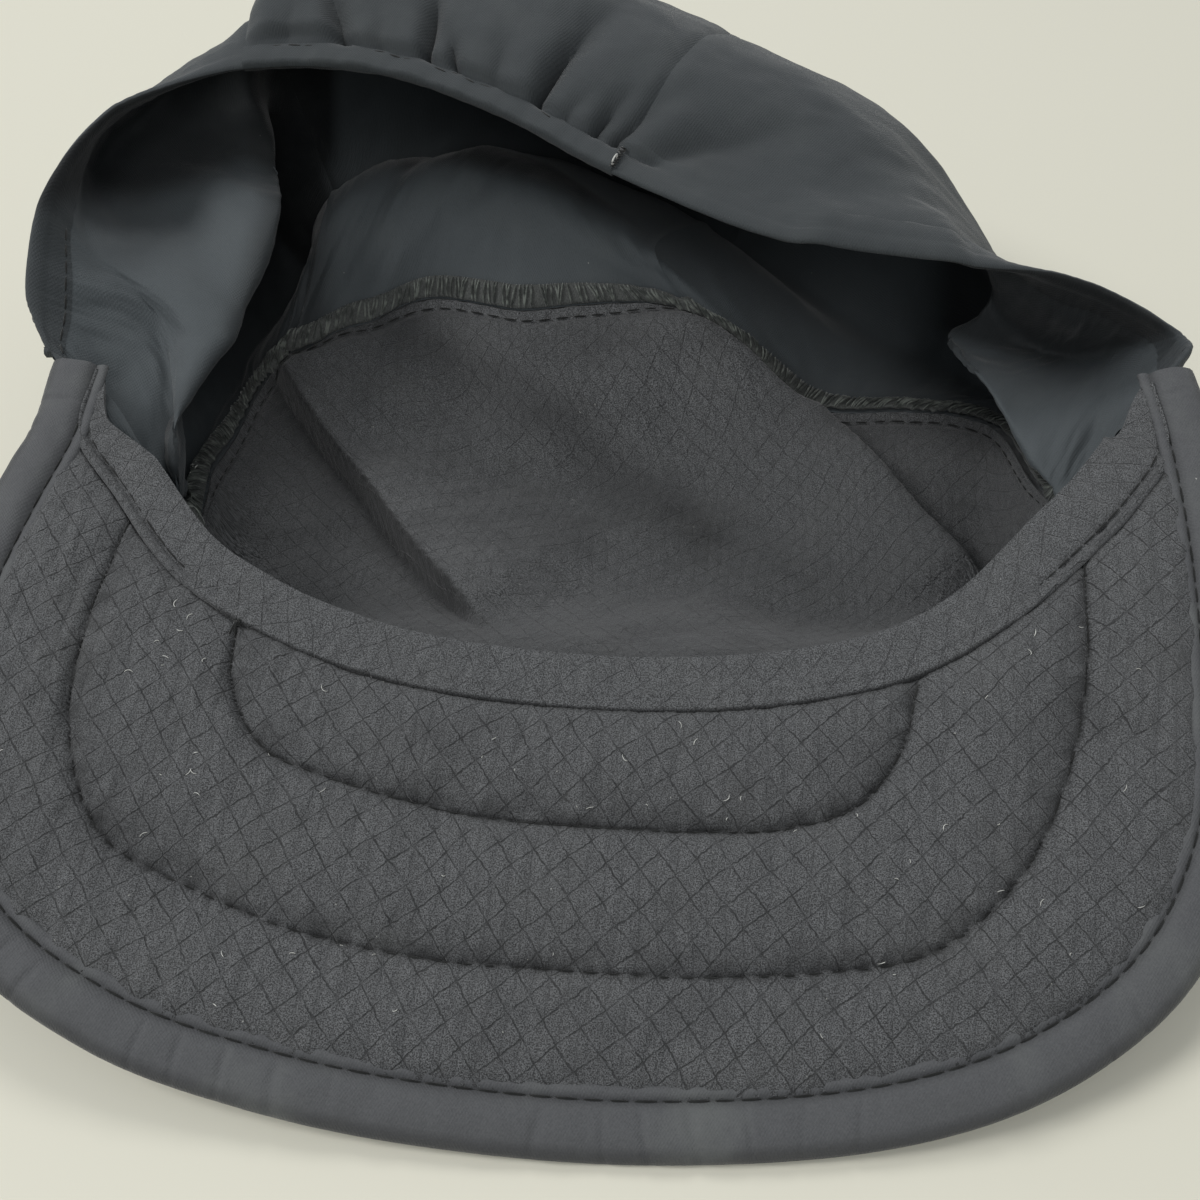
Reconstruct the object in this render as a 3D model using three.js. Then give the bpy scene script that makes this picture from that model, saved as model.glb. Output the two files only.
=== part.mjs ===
import * as THREE from 'three';

// A soft running cap that lies upside down: the padded brim shows its underside,
// the crown's opening faces up and the crown is laid flat behind the brim.
// Millimetres, +Z up. The brim points to -Y and z = 0 is the surface that the cap lies on.

// Driving dimensions
const CLOTH = 1.2;
const GAP = 0.3;
const BRIM_THICKNESS = 3.4;
const BINDING_WIDTH = 9;
const BINDING_THICKNESS = 2.8;
const FACING_WIDTH = 7.5;
const PIPING_DIAMETER = 1.6;
const HEM_WIDTH = 8;
const HEM_THICKNESS = 2.2;
const CASING_WIDTH = 6;
const CASING_THICKNESS = 3.2;
const ALLOWANCE_WIDTH = 5;
const ALLOWANCE_THICKNESS = 1.4;

// How much the cloth is pressed flat by its own weight where it lies on the surface below,
// and the height of the front panel's inside there.
const PRESSED = 0.1;
const TABLE_LAYER = CLOTH - PRESSED;

// The brim lies on its front edge, slopes up towards the crown and is a shallow trough.
const BRIM = { frontY: -131, frontZ: 1.7, slope: 0.292, trough: 0.0005, middleX: 3 };

// The seam between brim and crown, seen from above, with the two tips where the facing
// meets the binding as its ends.
const SEAM = [
  { x: -92, y: -5 },
  { x: -92.8, y: -17 },
  { x: -84, y: -29 },
  { x: -72, y: -43 },
  { x: -55, y: -53 },
  { x: -36, y: -59.5 },
  { x: -15, y: -63 },
  { x: 8, y: -64.5 },
  { x: 32, y: -63.5 },
  { x: 52, y: -59.5 },
  { x: 68, y: -51.5 },
  { x: 82, y: -41 },
  { x: 93, y: -31 },
  { x: 100.4, y: -21 },
  { x: 100.2, y: -8 },
];

// The line where the binding is stitched down, from the left horn round the front.
const BINDING_LINE = [
  { x: -92, y: -4 },
  { x: -93.5, y: -18 },
  { x: -97.5, y: -32 },
  { x: -101, y: -46 },
  { x: -103, y: -62 },
  { x: -100.5, y: -81 },
  { x: -90.5, y: -97 },
  { x: -71, y: -109 },
  { x: -49.5, y: -115.5 },
  { x: -27, y: -119.5 },
  { x: 7, y: -122 },
  { x: 42, y: -120 },
  { x: 63.5, y: -114 },
  { x: 82, y: -102 },
  { x: 93.5, y: -83.5 },
  { x: 98, y: -62 },
  { x: 100.5, y: -40 },
  { x: 101, y: -18 },
  { x: 100, y: -6 },
];

// Sections of the crown from its rim to the seam round the front panel, left horn to
// right horn. crest: the first fold inside or over the rim; out: the outer wall;
// fold: where the wall turns under; floor: the layer on the table; ridge: the rise
// before the seam, where its end is.
const SECTIONS = [
  { name: 'left horn', rim: [-103, 1, 43.5], crest: [-90, -8, 38], out: [-84, -16, 35],
    fold: [-80, -21, 33], floor: [-76, -26, 30], ridge: [-74, -28, 28], seam: [-72, -31, 26] },
  { name: 'left low', rim: [-107, 11, 51], crest: [-88, 3, 24], out: [-93, 9, 17],
    fold: [-91, 9, 11], floor: [-87, 7, 9], ridge: [-84, 5, 9], seam: [-80.5, 2, 10] },
  { name: 'left middle', rim: [-105, 26, 60], crest: [-84, 24, 31], out: [-92, 34, 20],
    fold: [-91, 34, 8], floor: [-87, 29, 2.6], ridge: [-84, 25, 4], seam: [-80, 20, 4.5] },
  { name: 'left high', rim: [-97, 49, 64], crest: [-75, 46, 45], out: [-92, 64, 30],
    fold: [-90, 66, 12], floor: [-83, 54, 2.6], ridge: [-80, 44, 4], seam: [-77.5, 34, 5] },
  { name: 'left tack', rim: [-72, 60, 67], crest: [-72, 76, 70], out: [-74, 98, 48],
    fold: [-70, 104, 16], floor: [-64, 88, 2.6], ridge: [-67, 66, 16], seam: [-71, 44, 9] },
  { name: 'back left', rim: [-46, 57, 68], crest: [-44, 84, 77], out: [-42, 114, 54],
    fold: [-38, 122, 18], floor: [-38, 102, 2.6], ridge: [-42, 68, 33], seam: [-46, 50, 16] },
  { name: 'back middle', rim: [-20, 44, 66], crest: [-14, 82, 78], out: [-8, 118, 56],
    fold: [-6, 129, 18], floor: [-10, 108, 2.6], ridge: [-17, 72, 35], seam: [-18, 48, 18] },
  { name: 'right tack', rim: [2, 29.5, 62], crest: [22, 68, 70], out: [38, 102, 46],
    fold: [40, 110, 16], floor: [34, 92, 2.6], ridge: [14, 56, 22], seam: [22, 44, 18] },
  { name: 'right high', rim: [34, 13, 58], crest: [56, 50, 60], out: [78, 72, 36],
    fold: [81, 75, 14], floor: [70, 58, 2.6], ridge: [56, 44, 4], seam: [46, 29, 5] },
  { name: 'right middle', rim: [71, 12, 53], crest: [72, 24, 50], out: [92, 40, 26],
    fold: [97, 44, 12], floor: [90, 38, 2.6], ridge: [80, 34, 4], seam: [68, 27, 5] },
  { name: 'right edge', rim: [98, 14, 46], crest: [77, 6, 29], out: [97, 21, 18],
    fold: [97, 23, 8], floor: [93, 23, 5], ridge: [90, 22, 5], seam: [86, 20, 6.5] },
  { name: 'right low', rim: [110, 7, 42], crest: [83, -12, 28], out: [93, -3, 20],
    fold: [93, -3, 14], floor: [91, -4, 13], ridge: [89, -5, 13], seam: [86.5, -6, 15] },
  { name: 'right horn', rim: [109, 1, 44], crest: [98, -8, 37], out: [95.5, -13.5, 35.2],
    fold: [92.5, -17.5, 33.5], floor: [89.5, -20.5, 31], ridge: [87.5, -22, 28.5], seam: [85.5, -23.5, 26] },
];
const SECTION_COLUMNS = ['rim', 'crest', 'out', 'fold', 'floor', 'ridge', 'seam'];
const LAST_SECTION = SECTIONS.length - 1;
const LEFT_TACK = 4;
const RIGHT_TACK = 7;

// The two long folds of the front panel: a gentle side that holds the panel up and a
// steep side that drops to the table.
const FRONT_FOLDS = [
  { from: [-75, 42], to: [-18, -50], height: 6, left: 20, right: 4 },
  { from: [32, 42], to: [76, -26], height: 9, left: 4, right: 20 },
];

// What a fold's lift loses everywhere, so that its far ends lie flat.
const FOLD_FADE = 0.8;

// The part of v over which the front panel rises to a seam.
const FRONT_RISE = 0.4;

// The share of u over which the front panel sinks to the surface from each side.
const FRONT_SIDE = 0.12;

// Where the front panel's two sides meet the seam of the brim, as shares of its length.
const FRONT_SHARE = { from: 0.165, to: 0.845 };

// The share of the seam along each tip, where the seam follows the binding, and where
// the brim's outer edge starts and ends along the binding.
const TIP_SHARE = 0.06;
const BRIM_SHARE = { from: 0.05, to: 0.945 };

// Where the seams between the back panel and the side panels leave a gap, in sections.
const SECTION_GAP = 0.015;

// The share of the brim's thickness that is left at its seam and at its binding.
const PAD_EDGE = 0.75;

// The share of its thickness that the binding loses at its outer edge, and how far its
// underside rises there.
const BINDING_ROLL = 0.5;
const BINDING_LIP = 0.3;

// The shares of the seam's length, from a tip, over which the facing widens, and the share
// from which it makes room for the piping.
const FACING_TAPER = { from: -0.02, to: 0.09 };
const PIPING_START = 0.02;

// A hem's thickness over its width: the share that stays at its edges, and how much of the
// rounding's half turn each edge leaves out.
const HEM_EDGE = 0.5;
const HEM_ROUNDING = 0.1;

// How far from their seam the crown, in millimetres, and the front panel, as a share of
// its v, are looked up to find the seam's normal.
const NORMAL_REACH = { crown: 3, front: 0.05 };

// How many steps each grid has along and across its piece.
const STEPS = {
  brim: [34, 7],
  binding: [48, 3],
  piping: 40,
  facing: [46, 1],
  front: [22, 15],
  overlock: [48, 1],
  panelAcross: 16,
  hemAcross: 4,
};

const FINISHES = {
  ripstop: { color: 0x484946, roughness: 0.82, metalness: 0 },
  plain: { color: 0x3c4248, roughness: 0.78, metalness: 0 },
  tape: { color: 0x3e444a, roughness: 0.75, metalness: 0 },
  thread: { color: 0x2c302b, roughness: 0.9, metalness: 0 },
};

const smooth = THREE.MathUtils.smoothstep;
const mix = THREE.MathUtils.lerp;

function curveThrough(points) {
  return new THREE.CatmullRomCurve3(points, false, 'centripetal');
}

function brimHeight(x, y) {
  return BRIM.frontZ + BRIM.slope * (y - BRIM.frontY) + BRIM.trough * (x - BRIM.middleX) ** 2;
}

// A curve on the brim's underside through the rows of a table.
function brimCurve(rows) {
  return curveThrough(rows.map(({ x, y }) => new THREE.Vector3(x, y, brimHeight(x, y))));
}

// The point beside a curve, seen from above; a positive distance lies to its right,
// which is the side of the brim's front edge.
function beside(curve, at, distance) {
  const point = curve.getPointAt(at);
  const along = curve.getTangentAt(at).setZ(0).normalize();
  return new THREE.Vector3(point.x + along.y * distance, point.y - along.x * distance, point.z);
}

// A grid of points over u and v from 0 to 1.
function gridOf(surface, rows, columns) {
  const grid = [];
  for (let i = 0; i <= rows; i += 1) {
    const row = [];
    for (let j = 0; j <= columns; j += 1) {
      row.push(surface(i / rows, j / columns));
    }
    grid.push(row);
  }
  return grid;
}

function gridNormal(grid, i, j) {
  const before = grid[Math.max(i - 1, 0)][j];
  const after = grid[Math.min(i + 1, grid.length - 1)][j];
  const inner = grid[i][Math.max(j - 1, 0)];
  const outer = grid[i][Math.min(j + 1, grid[i].length - 1)];
  const across = new THREE.Vector3().subVectors(after, before);
  const down = new THREE.Vector3().subVectors(outer, inner);
  return across.cross(down).normalize();
}

// A closed solid of cloth over a grid, whose normal points to the cap's outside. It
// reaches from insideAt to outsideAt along the normal, which may depend on u and v,
// and is flattened where it would go below the table. A mitre gives the normals of the
// edge that it shares with a neighbour, at the start or the end of v.
function clothSolid(grid, insideAt, outsideAt, mitre = {}) {
  const rows = grid.length;
  const columns = grid[0].length;
  const positions = [];
  for (const heightAt of [outsideAt, insideAt]) {
    for (let i = 0; i < rows; i += 1) {
      for (let j = 0; j < columns; j += 1) {
        const u = i / (rows - 1);
        const v = j / (columns - 1);
        const shared = (v === 0 && mitre.start) || (v === 1 && mitre.end);
        const normal = shared ? shared(u) : gridNormal(grid, i, j);
        const point = grid[i][j].clone().addScaledVector(normal, heightAt(u, v));
        positions.push(point.x, point.y, Math.max(point.z, 0));
      }
    }
  }
  const outside = (i, j) => i * columns + j;
  const inside = (i, j) => rows * columns + i * columns + j;
  const faces = [];
  const quad = (a, b, c, d) => faces.push(a, b, c, a, c, d);
  for (let i = 0; i + 1 < rows; i += 1) {
    for (let j = 0; j + 1 < columns; j += 1) {
      quad(outside(i, j), outside(i + 1, j), outside(i + 1, j + 1), outside(i, j + 1));
      quad(inside(i, j), inside(i, j + 1), inside(i + 1, j + 1), inside(i + 1, j));
    }
    const last = columns - 1;
    quad(outside(i, 0), inside(i, 0), inside(i + 1, 0), outside(i + 1, 0));
    quad(outside(i, last), outside(i + 1, last), inside(i + 1, last), inside(i, last));
  }
  for (let j = 0; j + 1 < columns; j += 1) {
    const last = rows - 1;
    quad(outside(0, j), outside(0, j + 1), inside(0, j + 1), inside(0, j));
    quad(outside(last, j), inside(last, j), inside(last, j + 1), outside(last, j + 1));
  }
  const geometry = new THREE.BufferGeometry();
  geometry.setAttribute('position', new THREE.Float32BufferAttribute(positions, 3));
  geometry.setIndex(faces);
  geometry.computeVertexNormals();
  return geometry;
}

function piece(name, geometry, finish) {
  const mesh = new THREE.Mesh(geometry, new THREE.MeshStandardMaterial(finish));
  mesh.name = name;
  return mesh;
}

const level = (height) => () => height;
const seam = brimCurve(SEAM);
const bindingLine = brimCurve(BINDING_LINE);
const SEAM_CLEARANCE = PIPING_DIAMETER / 2 + GAP;

// The brim's pad, from the seam to the binding. Both horns end in a point.
function brim() {
  const surface = (u, v) => {
    const inner = beside(seam, mix(TIP_SHARE, 1 - TIP_SHARE, u), SEAM_CLEARANCE);
    const outer = beside(bindingLine, mix(BRIM_SHARE.from, BRIM_SHARE.to, u), -GAP);
    const point = inner.lerp(outer, v);
    return point.setZ(brimHeight(point.x, point.y));
  };
  const grid = gridOf(surface, ...STEPS.brim);
  const padded = (u, v) => BRIM_THICKNESS * mix(PAD_EDGE, 1, Math.sin(Math.PI * v));
  return piece('brim', clothSolid(grid, level(0), padded), FINISHES.ripstop);
}

// The tape folded over the brim's outer edge, from horn to horn.
function brimBinding() {
  const surface = (u, v) => {
    const point = beside(bindingLine, u, v * BINDING_WIDTH);
    return point.setZ(brimHeight(point.x, point.y));
  };
  const grid = gridOf(surface, ...STEPS.binding);
  const rolled = (u, v) => BINDING_THICKNESS * (1 - BINDING_ROLL * v ** 4);
  const lip = (u, v) => BINDING_LIP * v ** 4;
  return piece('brim_binding', clothSolid(grid, lip, rolled), FINISHES.tape);
}

// The raised ridge along the seam between brim and crown.
function brimSeamPiping() {
  const section = new THREE.Shape().absarc(0, 0, PIPING_DIAMETER / 2, 0, 2 * Math.PI);
  const steps = STEPS.piping;
  const stops = Array.from({ length: steps + 1 }, (_, k) => seam.getPointAt(
    mix(TIP_SHARE, 1 - TIP_SHARE, k / steps)));
  const options = { extrudePath: curveThrough(stops), steps, curveSegments: 4, bevelEnabled: false };
  return piece('brim_seam_piping', new THREE.ExtrudeGeometry(section, options), FINISHES.tape);
}

// The strip inside the crown along the brim's seam; it narrows to a tip at each horn.
function brimFacing() {
  const surface = (u, v) => {
    const fromTip = Math.min(u, 1 - u);
    const width = FACING_WIDTH * smooth(fromTip, FACING_TAPER.from, FACING_TAPER.to);
    const clearance = GAP + (PIPING_DIAMETER / 2) * smooth(fromTip, PIPING_START, TIP_SHARE);
    const point = beside(seam, u, -clearance - (1 - v) * width);
    return point.setZ(brimHeight(point.x, point.y));
  };
  const grid = gridOf(surface, ...STEPS.facing);
  return piece('brim_facing', clothSolid(grid, level(0), level(CLOTH)), FINISHES.ripstop);
}

// The crown's sections as curves from the rim to the front panel's seam.
const sectionCurves = SECTIONS.map((section) => curveThrough(
  SECTION_COLUMNS.map((column) => new THREE.Vector3(...section[column]))));

// The crown's surface: u runs over the sections, and each section is entered at a
// distance from its rim or, where that is negative, from the front panel's seam.
function crownPoint(u, distanceFrom, distanceTo, v) {
  const points = sectionCurves.map((curve) => {
    const length = curve.getLength();
    const at = (distance) => curve.getUtoTmapping(0, distance < 0 ? length + distance : distance);
    return curve.getPoint(mix(at(distanceFrom), at(distanceTo), v));
  });
  return curveThrough(points).getPoint(u);
}

// The part of the crown between two sections and two distances.
function crownGrid(from, to, distanceFrom, distanceTo, rows, columns) {
  const surface = (u, v) => crownPoint(mix(from, to, u) / LAST_SECTION, distanceFrom, distanceTo, v);
  return gridOf(surface, rows, columns);
}

// How far the front panel's two long folds lift it above the table.
function foldLift(x, y) {
  let lift = 0;
  for (const fold of FRONT_FOLDS) {
    const alongX = fold.to[0] - fold.from[0];
    const alongY = fold.to[1] - fold.from[1];
    const length = Math.hypot(alongX, alongY);
    const offsetX = x - fold.from[0];
    const offsetY = y - fold.from[1];
    const side = (alongX * offsetY - alongY * offsetX) / length;
    const width = side > 0 ? fold.left : fold.right;
    lift += fold.height * Math.exp(-((side / width) ** 2));
  }
  return Math.max(lift - FOLD_FADE, 0);
}

// The front panel's surface, from its arched seam across the table, v = 0, and up to
// the brim's seam, v = 1.
const arch = curveThrough(SECTIONS.map((section) => new THREE.Vector3(...section.seam)));

function frontPoint(u, v) {
  const far = arch.getPoint(u);
  const at = mix(FRONT_SHARE.from, FRONT_SHARE.to, u);
  const near = beside(seam, at, -SEAM_CLEARANCE - GAP);
  near.z = brimHeight(near.x, near.y) - CLOTH - GAP;
  const point = far.clone().lerp(near, v);
  const taut = mix(far.z, near.z, v);
  const lying = TABLE_LAYER + foldLift(point.x, point.y);
  const low = mix(taut, lying, smooth(Math.min(u, 1 - u), 0, FRONT_SIDE));
  const rise = (end, distance) => (end.z - low) * (1 - smooth(distance, 0, FRONT_RISE));
  return point.setZ(low + rise(far, v) + rise(near, 1 - v));
}

// The shared normal of the front panel and the crown at their seam.
function seamNormal(u) {
  const along = arch.getTangent(u);
  const here = arch.getPoint(u);
  const reach = -NORMAL_REACH.crown;
  const before = new THREE.Vector3().subVectors(here, crownPoint(u, reach, reach, 0));
  const after = frontPoint(u, NORMAL_REACH.front).sub(here);
  const first = new THREE.Vector3().crossVectors(along, before).normalize();
  const second = new THREE.Vector3().crossVectors(along, after).normalize();
  return first.add(second).normalize();
}

function frontPanel() {
  const surface = (u, v) => {
    const length = frontPoint(u, 0).distanceTo(frontPoint(u, 1));
    return frontPoint(u, mix(3 * GAP / length, 1, v));
  };
  const grid = gridOf(surface, ...STEPS.front);
  const geometry = clothSolid(grid, level(0), level(CLOTH), { start: seamNormal });
  return piece('front_panel', geometry, FINISHES.ripstop);
}

// The panels and hems between two sections of the crown.
const CROWN_SPANS = {
  left: { from: 0, to: LEFT_TACK - SECTION_GAP, rows: 14 },
  back: { from: LEFT_TACK + SECTION_GAP, to: RIGHT_TACK - SECTION_GAP, rows: 15 },
  right: { from: RIGHT_TACK + SECTION_GAP, to: LAST_SECTION, rows: 18 },
};

function crownPanel(name, span, edgeWidth) {
  const start = edgeWidth + 3 * GAP;
  const grid = crownGrid(span.from, span.to, start, -GAP, span.rows, STEPS.panelAcross);
  const end = (u) => seamNormal(mix(span.from, span.to, u) / LAST_SECTION);
  return piece(name, clothSolid(grid, level(0), level(CLOTH), { end }), FINISHES.plain);
}

// A hem or the elastic casing: a thicker rounded band along the rim.
function rimBand(name, span, width, thickness) {
  const grid = crownGrid(span.from, span.to, 0, width, span.rows, STEPS.hemAcross);
  const turned = (v) => Math.PI * mix(HEM_ROUNDING, 1 - HEM_ROUNDING, v);
  const rounded = (u, v) => mix(HEM_EDGE, 1, Math.sin(turned(v)));
  const inside = (u, v) => CLOTH / 2 - (thickness / 2) * rounded(u, v);
  const outside = (u, v) => CLOTH / 2 + (thickness / 2) * rounded(u, v);
  return piece(name, clothSolid(grid, inside, outside), FINISHES.plain);
}

// The overlocked edges of the front panel's seam, turned away from that panel.
function frontSeamOverlock() {
  const start = -ALLOWANCE_WIDTH - 2 * GAP;
  const grid = crownGrid(0, LAST_SECTION, start, -2 * GAP, ...STEPS.overlock);
  const raised = level(-2 * GAP - ALLOWANCE_THICKNESS);
  const geometry = clothSolid(grid, raised, level(-2 * GAP));
  return piece('front_seam_overlock', geometry, FINISHES.thread);
}

const cap = new THREE.Group();
cap.add(
  brim(),
  brimBinding(),
  brimSeamPiping(),
  brimFacing(),
  frontPanel(),
  crownPanel('left_side_panel', CROWN_SPANS.left, HEM_WIDTH),
  crownPanel('back_panel', CROWN_SPANS.back, CASING_WIDTH),
  crownPanel('right_side_panel', CROWN_SPANS.right, HEM_WIDTH),
  rimBand('left_rim_hem', CROWN_SPANS.left, HEM_WIDTH, HEM_THICKNESS),
  rimBand('elastic_casing', CROWN_SPANS.back, CASING_WIDTH, CASING_THICKNESS),
  rimBand('right_rim_hem', CROWN_SPANS.right, HEM_WIDTH, HEM_THICKNESS),
  frontSeamOverlock(),
);

// The origin is below the middle of the cap's box, on the surface that it lies on.
const box = new THREE.Box3().setFromObject(cap);
cap.position.set(-(box.min.x + box.max.x) / 2, -(box.min.y + box.max.y) / 2, -box.min.z);

export default cap;
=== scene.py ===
"""A soft running cap that lies upside down, with its brim's underside and its mouth facing up.

The cap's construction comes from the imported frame. This add-on makes its cloth at full detail:
panels, quilted brim, tapes, hems, gathers, overlock and stitches, and the stage around it.
Lengths in the tables are millimetres on the cap's drawing, and meshes are in metres.
"""
import math

import bpy
import numpy as np
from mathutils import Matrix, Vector, noise


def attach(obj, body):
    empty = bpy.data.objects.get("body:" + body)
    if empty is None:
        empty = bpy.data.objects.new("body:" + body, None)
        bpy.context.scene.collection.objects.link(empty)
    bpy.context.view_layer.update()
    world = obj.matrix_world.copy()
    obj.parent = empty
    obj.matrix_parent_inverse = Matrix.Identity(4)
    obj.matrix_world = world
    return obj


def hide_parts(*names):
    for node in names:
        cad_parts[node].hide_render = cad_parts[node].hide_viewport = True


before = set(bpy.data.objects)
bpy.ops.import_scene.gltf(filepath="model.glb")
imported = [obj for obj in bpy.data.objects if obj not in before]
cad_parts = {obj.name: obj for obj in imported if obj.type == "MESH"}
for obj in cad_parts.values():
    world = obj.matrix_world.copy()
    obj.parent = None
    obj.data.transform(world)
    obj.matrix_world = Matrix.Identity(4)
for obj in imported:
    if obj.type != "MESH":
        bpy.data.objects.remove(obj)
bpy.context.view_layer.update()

bl_info = {
    "name": "Running Cap",
    "version": (1, 0, 0),
    "blender": (4, 5, 0),
    "location": "View3D > Sidebar > Cap",
    "description": "Makes a soft running cap that lies upside down",
    "category": "Object",
}

MM = 0.001
BODY = "root"

# The drawing's axes stand this far from the frame's origin.
DRAWING_ORIGIN = np.array((0.597, 0.051, 0.0))

# The camera on the drawing, close to the cap: its place, how far it looks down, and its lens
CAMERA_AT = (0.0, -178.0, 184.0)
CAMERA_DOWN_DEG = 50.0
CAMERA_LENS = 36.0
CAMERA_SENSOR = 36.0

# Widths and gaps of the construction
HEM_WIDTH = 8.0
CASING_WIDTH = 4.8
FACING_WIDTH = 7.5
ALLOWANCE_WIDTH = 5.0
SEAM_CLEARANCE = 1.1
GAP = 0.3

# How deep under the brim's surface the side panels and the front panel are sewn in
HORN_DEPTH = 1.6
FRONT_DEPTH = 1.5

# The lowest heights over the floor: the outer faces of cloth, their inner faces, the brim and its binding
OUTSIDE_LOWEST = 0.03
INSIDE_LOWEST = 0.12
BRIM_LOWEST = 0.1
BINDING_LOWEST = 0.05

# The brim's underside is a shallow trough that slopes up from its front edge.
BRIM = {"front_y": -131.0, "front_z": 1.7, "slope": 0.292, "trough": 0.0005, "middle_x": 3.0}
BRIM_PUFF = 2.5

# The seam between brim and crown, seen from above, from tip to tip (x, y).
SEAM = (
    (-92, -5), (-92.8, -17), (-84, -29), (-72, -43), (-55, -53), (-36, -59.5), (-15, -63), (8, -64.5),
    (32, -63.5), (52, -59.5), (68, -51.5), (82, -41), (93, -31), (100.4, -21), (100.2, -8),
)

# The line where the binding is stitched down, from horn to horn (x, y).
BINDING_LINE = (
    (-92, -4), (-93.5, -18), (-97.5, -32), (-101, -46), (-103, -62), (-100.5, -81), (-90.5, -97),
    (-71, -109), (-49.5, -115.5), (-27, -119.5), (7, -122), (42, -120), (63.5, -114), (82, -102),
    (93.5, -83.5), (98, -62), (100.5, -40), (101, -18), (100, -6),
)

# The brim's two quilting lines (x, y).
INNER_QUILTING = (
    (-61.2, -50.6), (-60.5, -62.2), (-54.3, -71.9), (-43.2, -76.4), (-31.4, -79.6), (-19.5, -82.1),
    (-7.3, -83.2), (4.9, -83.9), (17.1, -84.4), (29.3, -84), (40.9, -80.7), (48.6, -72.3), (52.6, -61.2),
)
OUTER_QUILTING = (
    (-81.7, -34), (-85.4, -51.9), (-85.3, -70), (-77.6, -86), (-61.2, -94.2), (-43.4, -100.1),
    (-24.9, -103.2), (-6.1, -104.5), (12.8, -105.5), (31.6, -105.1), (50.2, -102.5), (65.1, -91.7),
    (74.6, -76.4), (80.4, -59.2), (82.8, -41.3),
)

# The crown's sections from its rim to the front panel's seam, left horn to right horn.
# Columns: rim, hollow, crest, out, fold, floor, ridge, seam.
SECTIONS = (
    ((-103, 1, 43.5), (-97, -4, 41), (-90, -8, 38), (-84, -16, 35), (-80, -21, 33), (-76, -26, 30),
     (-74, -28, 28), (-72, -31, 26)),
    ((-105.5, 5.5, 46.8), (-95, -2, 38.5), (-85, -16, 30), (-86, -12, 24), (-85, -11, 20),
     (-84, -12, 18), (-82, -13, 15), (-78.5, -15, 13)),
    ((-106.5, 8, 49.2), (-88, 8, 36), (-79.4, -20, 22), (-82, -12, 18), (-83, -8, 14),
     (-83, -6, 12.5), (-82, -4, 12), (-79.5, -3, 11.5)),
    ((-107, 15, 53.3), (-87, 16, 39.5), (-79, -12, 32.5), (-88, 4, 18), (-88, 6, 11), (-86, 5, 9),
     (-83.5, 4, 9), (-80.5, 2, 10)),
    ((-105, 26, 60), (-99, 25, 48.5), (-71, 15, 38), (-92, 34, 20), (-91, 34, 8), (-87, 29, 2.6),
     (-84, 25, 4), (-80, 20, 4.5)),
    ((-97, 49, 64), (-107, 60, 46), (-66, 42, 46), (-90, 64, 30), (-90, 66, 12), (-83, 54, 2.6),
     (-80, 44, 4), (-77.5, 34, 5)),
    ((-86, 55, 66), (-97, 76, 52), (-70, 60, 46), (-84, 84, 42), (-82, 86, 14), (-76, 76, 2.6),
     (-70, 58, 18), (-75, 40, 6.5)),
    ((-72, 60, 67), (-72, 68, 69.5), (-72, 76, 70), (-74, 98, 48), (-70, 104, 16), (-66, 96, 2.6),
     (-62, 68, 30), (-71, 44, 9)),
    ((-46, 57, 68), (-45, 70, 74), (-44, 84, 77), (-42, 114, 54), (-38, 122, 18), (-40, 104, 2.6),
     (-42, 71, 37), (-46, 50, 16)),
    ((-20, 44, 66), (-17, 62, 74.5), (-14, 82, 78), (-8, 118, 56), (-6, 129, 18), (-10, 108, 2.6),
     (-17, 70, 37), (-18, 48, 18)),
    ((2, 29.5, 62), (12, 48, 68.5), (22, 68, 70), (38, 102, 46), (40, 110, 16), (34, 92, 2.6),
     (12, 54, 28), (22, 44, 18)),
    ((34, 13, 58), (45, 31, 61), (56, 50, 60), (78, 72, 36), (81, 75, 14), (70, 58, 2.6),
     (56, 44, 4), (46, 29, 5)),
    ((71, 12, 53), (71.5, 18, 52.5), (72, 24, 50), (92, 41, 21), (97, 44, 11), (90, 38, 2.6),
     (80, 34, 4), (68, 27, 5)),
    ((86, 14.5, 50), (90, 25, 26), (70, 18, 33), (92, 33, 14), (96, 35, 8), (91, 31, 4),
     (85, 29, 4.5), (78, 26, 5)),
    ((98, 14, 46), (98.5, 22, 24.5), (77, 6, 29), (96, 21, 12), (97, 23, 7), (93, 23, 5), (90, 22, 5),
     (86, 20, 6.5)),
    ((110, 7, 42), (106, 14, 31), (84, -16, 25.5), (93, -5, 18), (93, -5, 14), (91, -5, 13),
     (89, -5.5, 13), (86.5, -6, 15)),
    ((110.5, 3.5, 43), (105, 0, 36), (87, -22, 25.5), (88.5, -19, 25.5), (88.5, -19, 25),
     (88, -19, 24.5), (87, -19, 24), (86, -18.5, 21.5)),
    ((109, 1, 44), (104, -6, 40), (98, -12, 35), (95.5, -15, 34.2), (92.5, -18, 33),
     (89.5, -20.5, 31), (87.5, -22, 28.5), (85.5, -23.5, 26)),
)
LAST_SECTION = len(SECTIONS) - 1

# Where the cloth lies between the floor and the ridge, for the sections where that isn't halfway
SHOULDERS = {7: (-64, 88, 22), 8: (-41, 96, 27), 9: (-13, 96, 27), 10: (24, 76, 20)}
LEFT_TACK = 7
RIGHT_TACK = 10

# Shares of the seam's length where the front panel's sides meet it and where the brim's tips
# end, and the shares of the binding's length where the brim's outer edge starts and ends
FRONT_SHARE = (0.165, 0.845)
TIP_SHARE = 0.06
BRIM_SHARE = (0.05, 0.945)

# How far past its last sections the crown's cloth runs towards the brim's seam
HORN_ROWS = 0.9

# The spacing of the sections on the cloth's flat coordinates, and the points that a section, a
# long line and a short line are measured with
SECTION_SPACING = 23.0
SECTION_STEPS = 400
LONG_STEPS = 1600
LINE_STEPS = 120

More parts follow.
